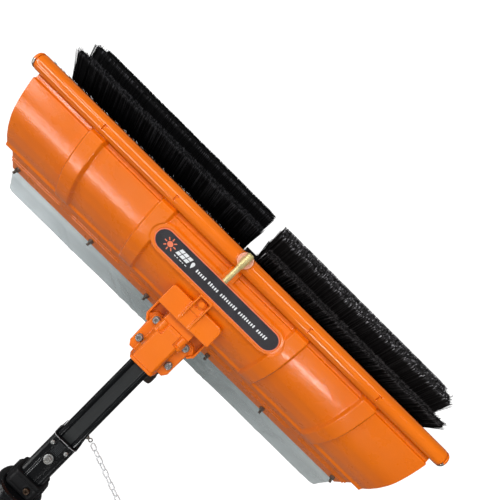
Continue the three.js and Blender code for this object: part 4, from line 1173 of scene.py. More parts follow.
def make_label():
    """A charcoal plate with a salmon border and a raised pictogram."""
    piece = Piece()
    origin = np.array([0, PAD_Y, PAD_Z])
    up = np.array([0, *PAD_ALONG])
    normal = np.array([0, *PAD_NORMAL])
    plate, white, salmon = 0, 1, 2

    def slab(outline, slot, bottom=4.60, top=4.80):
        outline = anticlockwise(outline)
        flat = origin + outline[:, :1] * UNIT_X + outline[:, 1:] * up
        points = np.concatenate([flat + bottom * normal, flat + top * normal])
        ring = np.arange(len(outline))
        cap = fill(outline)
        caps = np.concatenate([cap[:, ::-1], cap + len(outline)])
        piece.add(points, bridge(ring, ring + len(outline)), caps, slot=slot)

    def bar(start, end, width, slot):
        start, end = np.array(start), np.array(end)
        along = (end - start) / np.linalg.norm(end - start)
        across = np.array([-along[1], along[0]])
        turns = [math.pi / 2 - math.pi * i / 6 for i in range(7)]
        cap = [width / 2 * (math.cos(t) * along + math.sin(t) * across) for t in turns]
        slab([end + offset for offset in cap] + [start - offset for offset in cap], slot)

    slab(stadium_outline(LABEL_LENGTH, LABEL_WIDTH), salmon, 3.6, 4.55)
    slab(stadium_outline(LABEL_LENGTH - 3.0, LABEL_WIDTH - 3.0), plate, 4.0, 4.72)

    # a sun
    sun_x, sun_y = -91, 0.4
    t = np.arange(28) / 28 * 2 * math.pi
    slab(np.stack([sun_x + 4.6 * np.cos(t), sun_y + 4.6 * np.sin(t)], 1), salmon)
    for i in range(8):
        ray = np.array([math.cos(i * math.pi / 4), math.sin(i * math.pi / 4)])
        bar((sun_x, sun_y) + 6.6 * ray, (sun_x, sun_y) + 9.6 * ray, 1.7, salmon)
    # a tilted panel of six cells with short dashes below
    for i in range(3):
        for j in range(2):
            x, y = -78.0 + i * 7.6 + j * 2.3, -3.4 + j * 6.3
            slab([(x, y), (x + 6.4, y), (x + 8.3, y + 5.2), (x + 1.9, y + 5.2)], white)
    dash = 1.3
    for i, length in enumerate((3.2, 2.2, 4.0, 2.6, 3.4)):
        x = -76.5 + i * 5.0
        bar((x, -7.2), (x + length - dash, -7.2), dash, white)
    # a drop of water
    t = np.linspace(0, 2 * math.pi, 30, endpoint=False)
    drop_x = -48.4 + 3.6 * np.sin(t) * np.abs(np.sin(t / 2)) ** 1.2
    slab(np.stack([drop_x, 0.6 + 5.4 * np.cos(t + math.pi)], 1), white)
    # groups of short upright dashes
    x = -38.5
    for group, count in enumerate((5, 5, 8, 8, 5)):
        for i in range(count):
            extra = 1.5 if (i * 7 + group * 3) % 5 in (0, 3) else 0.75
            bar((x, -1.9), (x, -1.9 + 2.0 + extra), 2.2, white)
            x += 3.95
        x += 3.9
    return piece.build("label_inlay", [LABEL, WHITE, SALMON], smooth=False)


register(make_label(), "head", "label", "label_plate")

# ---------------------------------------------------------------- castings
# Half of the pole's section as (x, z from its axis, corner radius)
POLE_HALF = [
    (8.6, 10.2, 0.8), (9.6, 10.9, 0.8), (10.6, 13.6, 1.2), (11.8, 14.8, 1.5), (13.6, 15, 1.5),
    (15.8, 14.4, 1.8), (17.4, 12.7, 1.8), (18, 10.4, 1.8), (18, -11, 2.5), (17.1, -13.7, 2.5),
    (14.6, -15, 2.0),
]
POLE = mirrored([row[:2] for row in POLE_HALF])
POLE_Z = 42.0
SCREW_X, SCREW_Y = 30.5, (-148.5, -185.0)
CLAMP_SCREWS = [(x, y) for y in SCREW_Y for x in (-SCREW_X, SCREW_X)]
POCKET_SCREW = (0, -78.5)
LUG_X, LUG_Z = (-19.5, 19.5), 52
LUG_NOSE_Y = -147.2
CAST_CELL = 0.6

# Housing blocks as (x, y)
HOUSING_LEFT = [(-49, -119), (-49, -88.5), (-47.5, -85.5), (-44.5, -84.5), (-9, -84.5),
                (-9, -119)]
HOUSING_RIGHT = [(9, -119), (9, -84.5), (42.0, -84.5), (46.8, -86.6), (49, -91.5),
                 (49, -117.4), (47.6, -119)]
# Gusset as (y, z)
GUSSET = [(-118.2, 68), (-118.2, 75.2), (-69.4, 90.5), (-67.0, 90.5), (-67.0, 68)]

# Bracket outlines as (x, y)
BRACKET_PLATE = mirrored(
    [(-50, -122.0), (-50, -151), (-40.5, -161.5), (-39.2, -196.5), (-33.5, -204.5)]
)
BRACKET_RIM = [(50, -122.0), (50, -151), (42.6, -159.8), (40.2, -157.6), (46.3, -149.5),
               (46.3, -122.0)]
BRACKET_WELL = [(26.5, -122.5), (46.3, -122.5), (46.3, -149.3), (38.5, -140), (26.5, -138.3)]

# Cap outlines: sections as (x, z) and the flange as (x, y)
CAP_SECTION = mirrored([(-24.2, 30.4), (-23.6, 44), (-20.0, 60.0), (-17.2, 62.4)])
CAP_RIM = mirrored([(-25.6, 31), (-25.2, 44), (-21.4, 61.4), (-17.8, 64.2)])
CAP_ROOF = mirrored([(-21.5, 50.0), (-19.4, 59.6), (-17.2, 61.6)])
CAP_FLANGE = mirrored([(-30, -140.2), (-38.5, -143.6), (-39.2, -196.5), (-33.5, -204.4)])


def housing(point):
    x, y, z = point
    left = extrude(polygon(x, y, HOUSING_LEFT), z, 30, 76.0, 1.5)
    right = extrude(polygon(x, y, HOUSING_RIGHT), z, 30, 75.8, 2.6)
    body = join(left, box(point, (-12, 12), (-119, -85), (30, 75.6), 1.0), 0.6)
    body = join(body, right, 0.6)
    body = join(body, box(point, (-11.9, 11.9), (-95, -67.0), (58, 79.0), 1.2), 2.4)
    # a pair of gussets, thicker towards the foot, joined by a wall at their +y end
    gusset = polygon(y, z, GUSSET)
    half = 1.25 + np.clip((86 - z) * 0.045, 0, 1.2)
    edge = 0.7
    for gusset_x in (-10.3, 10.3):
        side = np.abs(x - gusset_x) - half
        outside = np.hypot(np.maximum(gusset + edge, 0), np.maximum(side + edge, 0))
        web = np.minimum(np.maximum(gusset + edge, side + edge), 0) + outside - edge
        body = join(body, web, 2.2)
    body = join(body, box(point, (-10.6, 10.6), (-69.8, -66.9), (68, 90.4), 0.9), 1.8)
    # screw pocket with its boss and the relief beside it
    body = carve(body, upright(point, POCKET_SCREW, 8.8, 78.2, 84), 0.8)
    body = join(body, upright(point, POCKET_SCREW, 7.2, 70, 80.4, 0.8), 0.7)
    body = carve(body, upright(point, (-4.6, -85.2), 2.7, 76.0, 86), 0.8)
    body = carve(body, upright(point, POCKET_SCREW, 3.3, 55, 90))
    body = carve(body, box(point, (-46, 46), (-116, -87.5), (20, 73), 1.0))
    # clear of the cover and its bead
    body = carve(body, polygon(y, z, COVER_REGION) - 0.15)
    return carve(body, np.hypot(y - BEAD_Y, z - BEAD_Z) - 4.6)


def pole_bracket(point):
    x, y, z = point
    body = extrude(polygon(x, y, BRACKET_PLATE), z, 20, 30.2, 2.0)
    for side in (LEFT, RIGHT):
        body = join(body, extrude(polygon(side * x, y, BRACKET_RIM), z, 20, 36, 1.1), 1.6)
        body = carve(body, extrude(polygon(side * x, y, BRACKET_WELL), z, 23, 60, 1.0), 1.4)
    # cross bar and its two round lugs
    body = join(body, box(point, (-25, 25), (-134.5, -119.4), (20, 60), 1.5), 2.2)
    for lug_x in LUG_X:
        lug = extrude(np.hypot(x - lug_x, z - LUG_Z) - 6.2, y, -149, -128, 0.6)
        nose = egg(point, (lug_x, LUG_NOSE_Y, LUG_Z), 1.1, 6.0)
        body = join(body, np.minimum(lug, nose), 1.0)
    pole = polygon(x, z - POLE_Z, POLE) - 0.35
    body = carve(body, np.maximum(pole, y + 134.4))
    for screw in CLAMP_SCREWS:
        body = carve(body, upright(point, screw, 3.3, 10, 40), 0.4)
    body = carve(body, polygon(y, z, COVER_REGION) - 0.4)
    body = carve(body, np.hypot(y - BEAD_Y, z - BEAD_Z) - 4.8)
    # passage of the motor's lead
    lead = np.hypot(x - 18.6, y + 129.5) - 3.2
    return carve(body, np.maximum(lead, np.abs(z - 35) - 13.0))


def clamp_cap(point):
    x, y, z = point
    body = extrude(polygon(x, z, CAP_SECTION), y, -205, -139.6, 1.6)
    body = join(body, extrude(polygon(x, y, CAP_FLANGE), z, 30.45, 36.2, 1.4), 2.2)
    body = join(body, extrude(polygon(x, z, CAP_RIM), y, -208.4, -203.9, 1.1), 0.9)
    # a low swelling round each lug
    for lug_x in LUG_X:
        swelling = extrude(np.hypot(x - lug_x, z - 51.4) - 7.6, y, -156.0, -141.0, 1.2)
        body = join(body, swelling, 1.6)
    # the roof of the cap runs on to the cross bar
    body = join(body, extrude(polygon(x, z, CAP_ROOF), y, -160, -134.35, 0.5), 0.6)
    # rounded humps over the lugs, beside the raised middle of the cap
    for hump_x in (-18.8, 18.8):
        dip = box(point, (hump_x - 7.6, hump_x + 7.6), (-153.0, -120), (58.6, 70), 1.0)
        body = carve(body, dip, 0.6)
        hump = extrude(np.hypot(x - hump_x, z - 56.0) - 5.9, y, -147.0, -134.35, 0.4)
        end = egg(point, (hump_x, -146.4, 56.0), 1.05, 5.8)
        body = join(body, np.minimum(hump, end), 0.6)
    # room for the pole, the lugs and the screws
    body = carve(body, polygon(x, z - POLE_Z, POLE) - 0.35)
    body = carve(body, box(point, (-18.3, 18.3), (-212, -130), (22, 45)))
    for lug_x in LUG_X:
        lug = extrude(np.hypot(x - lug_x, z - LUG_Z) - 6.25, y, -149.4, -125, 0.2)
        body = carve(body, lug, 0.3)
        body = carve(body, egg(point, (lug_x, LUG_NOSE_Y, LUG_Z), 1.1, 6.15), 0.4)
    for screw in CLAMP_SCREWS:
        body = carve(body, upright(point, screw, 3.3, 10, 40), 0.3)
        body = carve(body, upright(point, screw, 7.0, 36.15, 50), 0.5)
    return body


# name, field, low and high corner of its grid, CAD node
for name, field, low, high, node in (
    ("housing_casting", housing, (-51, -121, 29), (51, -65.5, 92), "drive_housing"),
    ("pole_bracket_casting", pole_bracket, (-52, -207, 18.5), (52, -117, 62), "pole_bracket"),
    ("clamp_cap_casting", clamp_cap, (-41, -210, 29), (41, -132.5, 66), "clamp_cap"),
):
    show_field(name, field, low, high, CAST_CELL, CAST, "head", "housing_orange", node)


def make_pocket_screw():
    """The painted-over screw in the housing's pocket."""
    profile = [(0, 66.5, 0), (2.9, 66.5, 0.3), (2.9, 80.5, 0.3), (5.1, 80.5, 0.4),
               (5.1, 83.6, 0.9), (4.0, 84.4, 0.5), (0, 84.2, 0)]
    piece = Piece()
    piece.lathe(rounded(profile), ABOUT_Z, (*POCKET_SCREW, 0), 56)
    piece.show("pocket_screw", CAST, 45, "head", "housing_orange", "housing_screw")


def make_clamp_screw(number, x, y):
    """A socket-head screw with a knurled head, on its washer."""
    shank, washer, seat, washer_top = 2.9, 6.3, 36.3, 36.3 + 1.25
    head, socket = 5.1, 2.7
    under = washer_top + 0.02
    top = under + 5.6
    washer_profile = [(shank, seat, 0), (washer, seat, 0.3), (washer, washer_top, 0.35),
                      (shank, washer_top, 0.1), (shank, seat, 0)]
    profile = [
        (0, 14.0), (shank, 14.0), (shank, under), (head, under), (head, top - 0.7),
        (head - 0.18, top - 0.25), (head - 0.7, top), (socket + 0.55, top),
        (socket + 0.1, top - 0.2), (socket, top - 0.45), (socket * 0.98, top - 2.8),
        (0, top - 3.1),
    ]
    piece = Piece()
    piece.lathe(rounded(washer_profile, 3), ABOUT_Z, (x, y, 0), 48, slot=1)
    turn = 0.4 * (number - 1) + 0.2
    piece.lathe(profile, ABOUT_Z, (x, y, 0), 60, hex_rings=(8, 9, 10), turn=turn)
    # each knurl is a small three-sided ridge
    knurls = 30
    ring = np.arange(3)
    for i in range(knurls):
        angle = 2 * math.pi * i / knurls
        cosine, sine = math.cos(angle), math.sin(angle)
        points = []
        for z in (under + 0.5, top - 0.9):
            for out, across in ((-0.05, 0.17), (0.14, 0.0), (-0.05, -0.17)):
                radius = head + out
                points.append((x + radius * cosine - across * sine,
                               y + radius * sine + across * cosine, z))
        piece.add(points, bridge(ring, ring + 3), np.array([[0, 2, 1], [3, 4, 5]]))
    node = "clamp_screw_%d" % number
    piece.show("cap_screw_%d" % number, [STEEL, DULL], 32, "head", "bright_steel", node)


make_pocket_screw()
for i, (x, y) in enumerate(CLAMP_SCREWS):
    make_clamp_screw(i + 1, x, y)

# ---------------------------------------------------------------- splash apron, strip, bolts
BOLT_DOWN = 30
BOLT_X = (-366, -199, -71, 71, 199, 366)
# Soft creases in the apron: x, half width, slope, height
CREASES = (
    (-142, 5.0, 0.9, 2.6), (-118, 4.0, 1.5, 2.0), (-96, 5.5, 0.5, 2.4), (96, 5.0, -0.3, 2.2),
    (140, 4.0, -1.0, 1.6), (-250, 6.0, 0.6, 1.5), (255, 6.0, -0.6, 1.6), (330, 5, 0.4, 1.2),
)


def on_skirt(down, out):
    """(y, z) of a place down the flat skirt and out from it."""
    return SKIRT_START + SKIRT_DOWN * down + SKIRT_OUT * out


def make_apron():
    held = [on_skirt(down, -3.95) for down in (17, BOLT_DOWN, 44)]
    middle = spline(held + [(-163.5, -63.5), (-173, -75), (-183, -87), (-193.4, -97.2)], 2.2)
    normals = curve_normals(middle)
    rows = len(middle)
    run = run_length(middle)[None]
    columns = np.linspace(-378, 378, 253)
    x = columns[:, None] * np.ones((1, rows))
    # below the bolts the sheet hangs in shallow folds
    free = smoothstep(24, 62, run)
    wave = 2.1 * np.sin(x / 41.0 + 0.6) + 1.2 * np.sin(x / 17.5 + 2.0)
    wave = wave + 0.7 * np.sin(x / 9.0 + run / 9.0)
    crease = np.zeros_like(x)
    for crease_x, width, slope, height in CREASES:
        crease += height * np.exp(-(((x - crease_x - slope * (run - 50)) / width) ** 2))
    offset = free * (wave * 0.12 + crease * 0.42)
    # the corners of the free edge are cut round
    edge = np.clip((run - (run[0, -1] - 9)) / 9, 0, 1)
    end = np.clip((np.abs(x) - 366) / 12, 0, 1)
    shrink = 4.0 * edge * end**2
    y = middle[None, :, 0] + normals[None, :, 0] * offset + shrink * 0.8
    z = middle[None, :, 1] + normals[None, :, 1] * offset + shrink * 0.7
    z = np.maximum(z, -98.2)
    half_y, half_z = 0.55 * normals.T[:, None]
    outer = np.stack([x, y + half_y, z + half_z], -1).reshape(-1, 3)
    inner = np.stack([x, y - half_y, z - half_z], -1).reshape(-1, 3)
    count = len(outer)
    faces = grid_quads(len(columns), rows)
    start, end = rim_edges(faces, count).T
    wall = np.stack([end, start, start + count, end + count], 1)
    quads = np.concatenate([faces, faces[:, ::-1] + count, wall])
    item = mesh_object("apron_sheet", np.concatenate([outer, inner]), [quads], APRON, sharp=60)
    register(item, "head", "apron_pvc", "splash_apron")


def make_strip():
    places = ((22, -4.9), (38, -4.9), (38, -7.0), (22, -7.0))
    corners = [(*on_skirt(down, out), 0.5) for down, out in places]
    piece = Piece()
    piece.prism(rounded(corners, closed=True), ABOUT_X, -374, 374, 0.5)
    piece.show("clamping_strip", STEEL, 30, "head", "bright_steel", "apron_strip")


def make_strip_bolt(number, x):
    """A bolt through the skirt, its head inside and its nut outside."""
    out = np.array([0, *SKIRT_OUT])
    across = np.cross(out, UNIT_X)
    turn = 0.5 * (number - 1)
    first = UNIT_X * math.cos(turn) + across * math.sin(turn)
    second = across * math.cos(turn) - UNIT_X * math.sin(turn)
    axes = (first, second, out)
    centre = (x, *on_skirt(BOLT_DOWN, 0))
    bolt = [(0, -10.6), (3.9, -10.6), (4.6, -10.1), (4.6, -7.4), (2.4, -7.4), (2.4, 5.0)]
    bolt += repeated(5.0, 10.9, 0.8, ((2.4, 0.1), (2.02, 0.45), (2.4, 0.8)))
    bolt += [(2.0, 11.4), (0, 11.5)]
    nut = [(2.65, 0.4), (4.2, 0.4), (4.6, 0.75), (4.6, 4.2), (4.1, 4.6), (2.75, 4.6),
           (2.65, 0.4)]
    for kind, profile in (("bolt", bolt), ("nut", nut)):
        piece = Piece()
        piece.lathe(profile, axes, centre, 36, hex_rings=(2, 3))
        name = "%s_%d" % (kind, number)
        piece.show("strip_" + name, DULL, 32, "head", "bright_steel", "apron_" + name)


make_apron()
make_strip()
for i, x in enumerate(BOLT_X):
    make_strip_bolt(i + 1, x)

# ---------------------------------------------------------------- pole, chain and lead
EYE = np.array([25.5, -344.0, POLE_Z])
EYE_RING = 2.75
CHAIN_ANGLE = -0.375
LINK_PITCH = 10.8
LINKS = 10
SOCKET_X, SOCKET_Z = 21, 17.2
# Path of the motor lead
LEAD = [
    (20, -205.6, 16.4), (20, -180, 16.4), (20, -160, 16.4), (20, -146, 16.3), (20, -138, 17.2),
    (19.3, -132, 22.5), (18.7, -129.6, 30), (18.6, -129.2, 38), (18.4, -126.8, 44.0),
    (18.0, -120.5, 47.0), (18, -114, 49.0),
]


def make_pole():
    rounding = [row[2] for row in POLE_HALF]
    rows = np.column_stack([POLE, rounding + rounding[::-1]])
    outline = rounded(rows, closed=True)
    # ABOUT_Y takes (z, x)
    outline = outline[:, ::-1] + [POLE_Z, 0]
    piece = Piece()
    piece.prism(outline, ABOUT_Y, -496, -136.2, 0.4)
    piece.show("pole_extrusion", ANODISED, 35, "head", "pole_black", "pole_profile")


def make_swivel_eye():
    profile = [(0, 17.7, 0), (3.3, 17.7, 0.3), (3.3, 19.8, 0.5), (2.2, 20.9, 0.4),
               (2.0, 22.2, 0.3), (0, 22.4, 0)]
    piece = Piece()
    piece.lathe(rounded(profile), ABOUT_X, (0, EYE[1], EYE[2]), 32)
    t = np.linspace(0, 2 * math.pi, 33)[:-1]
    ring = np.stack([EYE_RING * np.cos(t), EYE_RING * np.sin(t), 0 * t], 1)
    piece.sweep(EYE + ring, 0.85, closed=True)
    piece.show("swivel_eye", DULL, 40, "head", "dull_steel", "chain_eyelet")


def make_chain():
    """Small links and one large end link, running away from the eye."""
    along = np.array([math.cos(CHAIN_ANGLE), math.sin(CHAIN_ANGLE), 0])
    side = np.array([-along[1], along[0], 0])
    piece = Piece()
    for i in range(LINKS):
        # neighbouring links lean opposite ways about the chain's line, so that they thread
        length, width, wire = LINK_PITCH + 2.6, 7.6, 0.90
        place = 6.2 + i * LINK_PITCH + LINK_PITCH / 2
        tilt = 0.42 if i % 2 else -0.42
        if i == LINKS - 1:
            length, width, wire = 19.0, 17.0, 0.95
            place = 6.2 + i * LINK_PITCH + 8.2
            tilt = 0.30
        straight = (length - width) / 2
        radius = width / 2 - wire
        t = np.linspace(-math.pi / 2, math.pi / 2, 14)
        bend = np.stack([straight + radius * np.cos(t), radius * np.sin(t)], 1)
        run = np.stack([np.linspace(straight, -straight, 5)[1:-1], np.full(3, radius)], 1)
        loop = np.concatenate([bend, run, -bend, -run])
        across = side * math.cos(tilt) + UNIT_Z * math.sin(tilt)
        path = EYE + along * place + loop[:, :1] * along + loop[:, 1:] * across
        piece.sweep(path, wire, closed=True, up=np.cross(along, across))
    piece.show("chain_links", CHAIN, 60, "chain", "chain_steel", "safety_chain")


def make_power_socket():
    profile = [(0, -206, 0), (7, -206, 0.8), (8.7, -208.4, 0.8), (8.7, -213.6, 0.5),
               (9.6, -215, 0.6), (9.6, -229, 1.2), (8.6, -231, 0.6), (6.2, -231, 0.3),
               (6.2, -224.4, 0.3), (0, -224.4, 0)]
    piece = Piece()
    piece.lathe(rounded(profile), ABOUT_Y, (SOCKET_X, 0, SOCKET_Z), 56)
    # grip ridges and two pins
    ridges = 18
    for i in range(ridges):
        angle = 2 * math.pi * i / ridges
        x, z = SOCKET_X + 9.5 * math.cos(angle), SOCKET_Z + 9.5 * math.sin(angle)
        up = (0, 0.1, 1) if abs(math.cos(angle)) > 0.5 else (1, 0, 0)
        piece.sweep([(x, y, z) for y in (-227.5, -222, -216.5)], 0.45, 6, up=up)
    pin = [(0, -229.0), (0.9, -229.0), (1.1, -228.6), (1.1, -224.0), (0, -224.0)]
    for offset in (-2.0, 2.0):
        piece.lathe(pin, ABOUT_Y, (SOCKET_X + offset, 0, SOCKET_Z), 16, slot=1)
    materials = [BROWN_BLACK, BRASS]
    piece.show("power_plug_socket", materials, 35, "head", "black_plastic", "power_socket")


def make_lead():
    path = catmull_rom(np.array([LEAD[0]] + LEAD + [LEAD[-1]], float), 6)
    piece = Piece()
    piece.sweep(path, 2.3, 14, up=(1, 0, 0))
    piece.show("lead_cable", RUBBER, 60, "head", "seal_rubber", "motor_lead")


make_pole()
make_swivel_eye()
make_chain()
make_power_socket()
make_lead()

# ---------------------------------------------------------------- sleeve, collar and coupling
# Outer and inner section of the sleeve as (x, z from the pole's axis)
SLEEVE = mirrored([
    (7.4, 17.2), (8.4, 18.6), (9, 18.6), (10, 17.4), (15.4, 17.2), (18.6, 15.6), (20.5, 12),
    (20.5, -12.5), (18.8, -16), (15.4, -17.8),
])
SLEEVE_BORE = mirrored([
    (9.2, 10.7), (10.2, 13.9), (11.5, 15.2), (13.7, 15.5), (16.1, 14.8), (17.8, 12.9),
    (18.45, 10.5), (18.45, -11.2), (17.5, -14.0), (14.8, -15.45),
])
# Side lip and collar ear as (x, y)
SIDE_LIP = [(20.6, -365), (20.6, -362.4), (19.4, -350.2), (18.6, -350.2), (18.4, -365)]
EAR = [(20, -436.5), (27, -438.4), (29.5, -442.2), (29.5, -451), (26.6, -454.4),
       (28.1, -459.7), (20, -460.4)]
PLUNGER = (0, -397)
RIVET_X, RIVET_Y = (-13, 13), -375
COLLAR_SCREW = (10, -450)


def sleeve(point):
    x, y, z = point
    height = z - POLE_Z
    outer = polygon(x, height, SLEEVE)
    body = extrude(outer, y, -461.6, -363.0, 0.9)
    # thin lip round the mouth
    body = join(body, extrude(outer - 0.5, y, -366.2, -363.6, 0.5), 0.8)
    # tapered side lips along the pole's flanks
    for side in (LEFT, RIGHT):
        lip = extrude(polygon(side * x, y, SIDE_LIP), z, POLE_Z - 12, POLE_Z + 10, 0.4)
        body = join(body, lip, 1.4)
    body = carve(body, polygon(x, height, SLEEVE_BORE))
    # comb of fine ribs on the raised band between the rivets
    comb = 0.32 * np.maximum(np.cos(2 * math.pi * (y + 368.0) / 1.9), 0) * (np.abs(x) < 6.5)
    comb = comb * (y < -368.5) * (y > -388.5) * (z > POLE_Z + 10)
    body = body - comb * (np.abs(height - 17.3) < 1.6)
    # a dotted line pressed along the top
    dots = np.sqrt((x - 6.0) ** 2 * 1.3 + (((y + 405) + 1.6) % 3.2 - 1.6) ** 2) - 0.75
    dotted = join(body, np.maximum(dots, np.abs(height - 17.2) - 0.45), 0.4)
    body = np.where((y < -404) & (y > -442) & (z > POLE_Z + 10), dotted, body)
    body = carve(body, upright(point, PLUNGER, 4.4, POLE_Z + 8, POLE_Z + 30))
    for rivet in RIVET_X:
        body = carve(body, upright(point, (rivet, RIVET_Y), 2.1, POLE_Z + 13, POLE_Z + 30))
    return body


def make_sleeve_highlights():
    """Ribs and dots along the sleeve's top and a bead round its mouth, coloured light grey as
    painted highlights.
    """
    highlight_slot, dark = 0, 1
    piece = Piece()
    rib = [(-9.6, y, 59.15) for y in np.linspace(-404, -446, 22)]
    piece.sweep(rib, 0.55, 8, slot=highlight_slot)
    for y in np.arange(-406, -446, -2.7):
        piece.sweep([(-6.6, y - step, 59.1) for step in (0, 0.65, 1.3)], 0.5, 8, slot=highlight_slot)
    # the comb ribs take the fainter painted highlight
    for y in np.arange(-368.8, -388, -2.0):
        piece.sweep([(-6.4, y, 59.0), (0, y, 59.05), (6.4, y, 59.0)], 0.42, 8, slot=dark)
    mouth_y = np.full(len(SLEEVE), -364.4)
    mouth = np.stack([SLEEVE[:, 0] * 1.03, mouth_y, SLEEVE[:, 1] * 1.03 + POLE_Z], 1)
    piece.sweep(mouth, 0.55, 8, closed=True, slot=highlight_slot, up=(0, 1, 0))
    piece.show("sleeve_painted_highlights", [SLEEVE_HIGHLIGHT_GREY, SLEEVE_FAINT_HIGHLIGHT_GREY], 60, "pole_socket", "gloss_black")


def make_rivet(number, x):
    profile = [(0, 57.6, 0), (1.8, 57.6, 0.1), (1.8, 59.45, 0.1), (3.35, 59.45, 0.3),
               (3.3, 60.2, 1.2), (2.4, 61.5, 1.8), (0, 62.0, 0)]
    piece = Piece()
    piece.lathe(rounded(profile, 6), ABOUT_Z, (x, RIVET_Y, 0), 40)
    name, node = "dome_rivet_%d" % number, "sleeve_rivet_%d" % number
    piece.show(name, STEEL, 50, "pole_socket", "bright_steel", node)


def make_plunger():
    seat = 59.5
    bush = [(2.9, seat - 6.4, 0), (4.1, seat - 6.4, 0.2), (4.1, seat + 0.1, 0.1),
            (7.4, seat + 0.1, 0.2), (7.3, seat + 1.2, 0.5), (6.4, seat + 1.6, 0.4),
            (2.9, seat + 1.6, 0.2), (2.9, seat - 6.4, 0)]
    piece = Piece()
    piece.lathe(rounded(bush, 3), ABOUT_Z, (*PLUNGER, 0), 56)
    piece.show("plunger_bush", STEEL, 35, "pole_socket", "bright_steel", "pin_bush")

    under = 61.4
    knob = [(0, 52.7, 0), (1.9, 52.7, 0.4), (2.6, 53.6, 0.4), (2.6, under, 0.1),
            (5.7, under, 0.2), (6.0, under + 0.8, 0.3), (6.0, under + 3.2, 0.7),
            (5.1, under + 4.3, 0.6), (2.1, under + 4.3, 0.3), (1.7, under + 4.0, 0.2),
            (1.6, under + 2.0, 0.2), (0, under + 1.9, 0)]
    low, high = under + 4.25, under + 4.45
    ring = [(2.7, low), (3.9, low), (3.9, high), (2.7, high), (2.7, low)]
    piece = Piece()
    piece.lathe(rounded(knob), ABOUT_Z, (*PLUNGER, 0), 56)
    piece.lathe(ring, ABOUT_Z, (*PLUNGER, 0), 40, slot=1)
    piece.show("plunger_knob", [STEEL, DULL], 35, "plunger", "bright_steel", "lock_pin")


def collar(point):
    x, y, z = point
    height = z - POLE_Z
    corner = 9
    over_x, over_z = np.abs(x) - 25.5 + corner, np.abs(height) - 21.5 + corner
    outside = np.hypot(np.maximum(over_x, 0), np.maximum(over_z, 0))
    outer = outside + np.minimum(np.maximum(over_x, over_z), 0) - corner
    body = extrude(outer, y, -460.6, -436.0, 1.3)
    for side in (LEFT, RIGHT):
        ear = extrude(polygon(side * x, y, EAR), z, POLE_Z - 10, POLE_Z + 10, 0.9)
        body = join(body, ear, 1.6)
    # two shallow grooves round the collar
    body = carve(body, np.hypot(y + 441.5, outer) - 0.7, 0.5)
    body = carve(body, np.hypot(y + 456.0, outer) - 0.7, 0.5)
    boss = upright(point, COLLAR_SCREW, 7.6, POLE_Z + 18, POLE_Z + 22.2, 0.7)
    body = join(body, boss, 1.0)
    body = carve(body, polygon(x, height, SLEEVE) - 0.35)
    body = carve(body, upright(point, COLLAR_SCREW, 5.5, POLE_Z + 20.6, POLE_Z + 30), 0.3)
    return carve(body, upright(point, COLLAR_SCREW, 3.1, POLE_Z + 10, POLE_Z + 30))


def make_collar_screw():
    profile = [
        (0, 61.1), (2.7, 61.1), (2.7, 62.9), (4.9, 62.9), (4.9, 65.6), (4.5, 66.4),
        (3.6, 66.9), (2.7, 67.0), (2.3, 66.7), (2.2, 66.2), (2.1, 64.6), (0, 64.3),
    ]
    piece = Piece()
    centre = (*COLLAR_SCREW, 0)
    piece.lathe(profile, ABOUT_Z, centre, 54, hex_rings=(8, 9, 10), turn=0.2)
    name, node = "collar_cap_screw", "collar_screw"
    piece.show(name, BROWN_STEEL, 32, "pole_socket", "dull_steel", node)


def reach_to_outline(outline, angle):
    """Distance from the pole's axis to an (x, z) outline, at angles from +z to +x."""
    ray_x, ray_z = np.sin(angle)[:, None], np.cos(angle)[:, None]
    corner_x, corner_z = np.roll(outline, 1, 0).T
    edge_x, edge_z = (outline - np.roll(outline, 1, 0)).T
    det = ray_z * edge_x - ray_x * edge_z
    meets = np.abs(det) >= 1e-9
    det = np.where(meets, det, 1)
    reach = (corner_z * edge_x - corner_x * edge_z) / det
    part = (ray_x * corner_z - ray_z * corner_x) / det
    meets &= (reach > 0) & (part >= -1e-6) & (part <= 1 + 1e-6)
    return np.where(meets, reach, np.inf).min(1)


def make_coupling():
    """A round, fluted coupling with a window for the sleeve in its +y face."""
    front, rear, floor = -461.0, -540.0, -471.0
    rows = [
        (19.5, front - 0.2, 0), (30.5, front, 0.5), (33.0, front, 1.5),
        (36.6, front - 1.6, 2.2), (38.0, front - 5.5, 2.5), (38.0, front - 26, 0.8),
        (36.4, front - 27.6, 0.6), (36.4, front - 31, 0.6), (38.0, front - 32.6, 0.8),
        (38.0, rear + 6, 3.5), (35.0, rear, 1.0), (0, rear, 0),
    ]
    coarse = rounded(rows, 6)
    profile = []
    for start, end in zip(coarse[:-1], coarse[1:]):
        parts = 1
        if start[0] > 30 and end[0] > 30:
            parts = max(1, int(np.linalg.norm(end - start) / 2.2))
        profile += [start + (end - start) * j / parts for j in range(parts)]
    profile = np.array(profile + [coarse[-1]])
    segments = 160
    angle = np.arange(segments) / segments * 2 * math.pi
    y = profile[:, 1][:, None]
    flute = 0.9 * np.maximum(np.cos(angle * 20)[None], 0) ** 2 * smoothstep(-498, -501, y)
    flute = flute * smoothstep(-533, -529, y) * (profile[:, :1] > 37)
    radii = profile[:, :1] - flute
    radii[0] = reach_to_outline(SLEEVE + np.sign(SLEEVE) * 0.5, angle) + 0.2
    circle = np.cos(angle)[:, None] * UNIT_Z + np.sin(angle)[:, None] * UNIT_X
    rings = POLE_Z * UNIT_Z + radii[..., None] * circle + y[..., None] * UNIT_Y
    # the inner wall runs back to the cavity floor
    wall = rings[:1].copy()
    wall[..., 1] = floor
    points = np.concatenate([wall, rings]).reshape(-1, 3)
    ring = np.arange(segments)
    tip = len(points) - segments
    quads = grid_quads(len(rings), segments, close_columns=True)
    floor_fan = fan(len(points), ring)
    end_fan = fan(tip, ring + tip - segments, back=True)
    piece = Piece()
    piece.add(np.concatenate([points, [[0, floor, POLE_Z]]]), quads, floor_fan, end_fan)
    piece.show("coupling_moulding", GLOSS, 50, "pole_socket", "gloss_black", "pole_coupling")


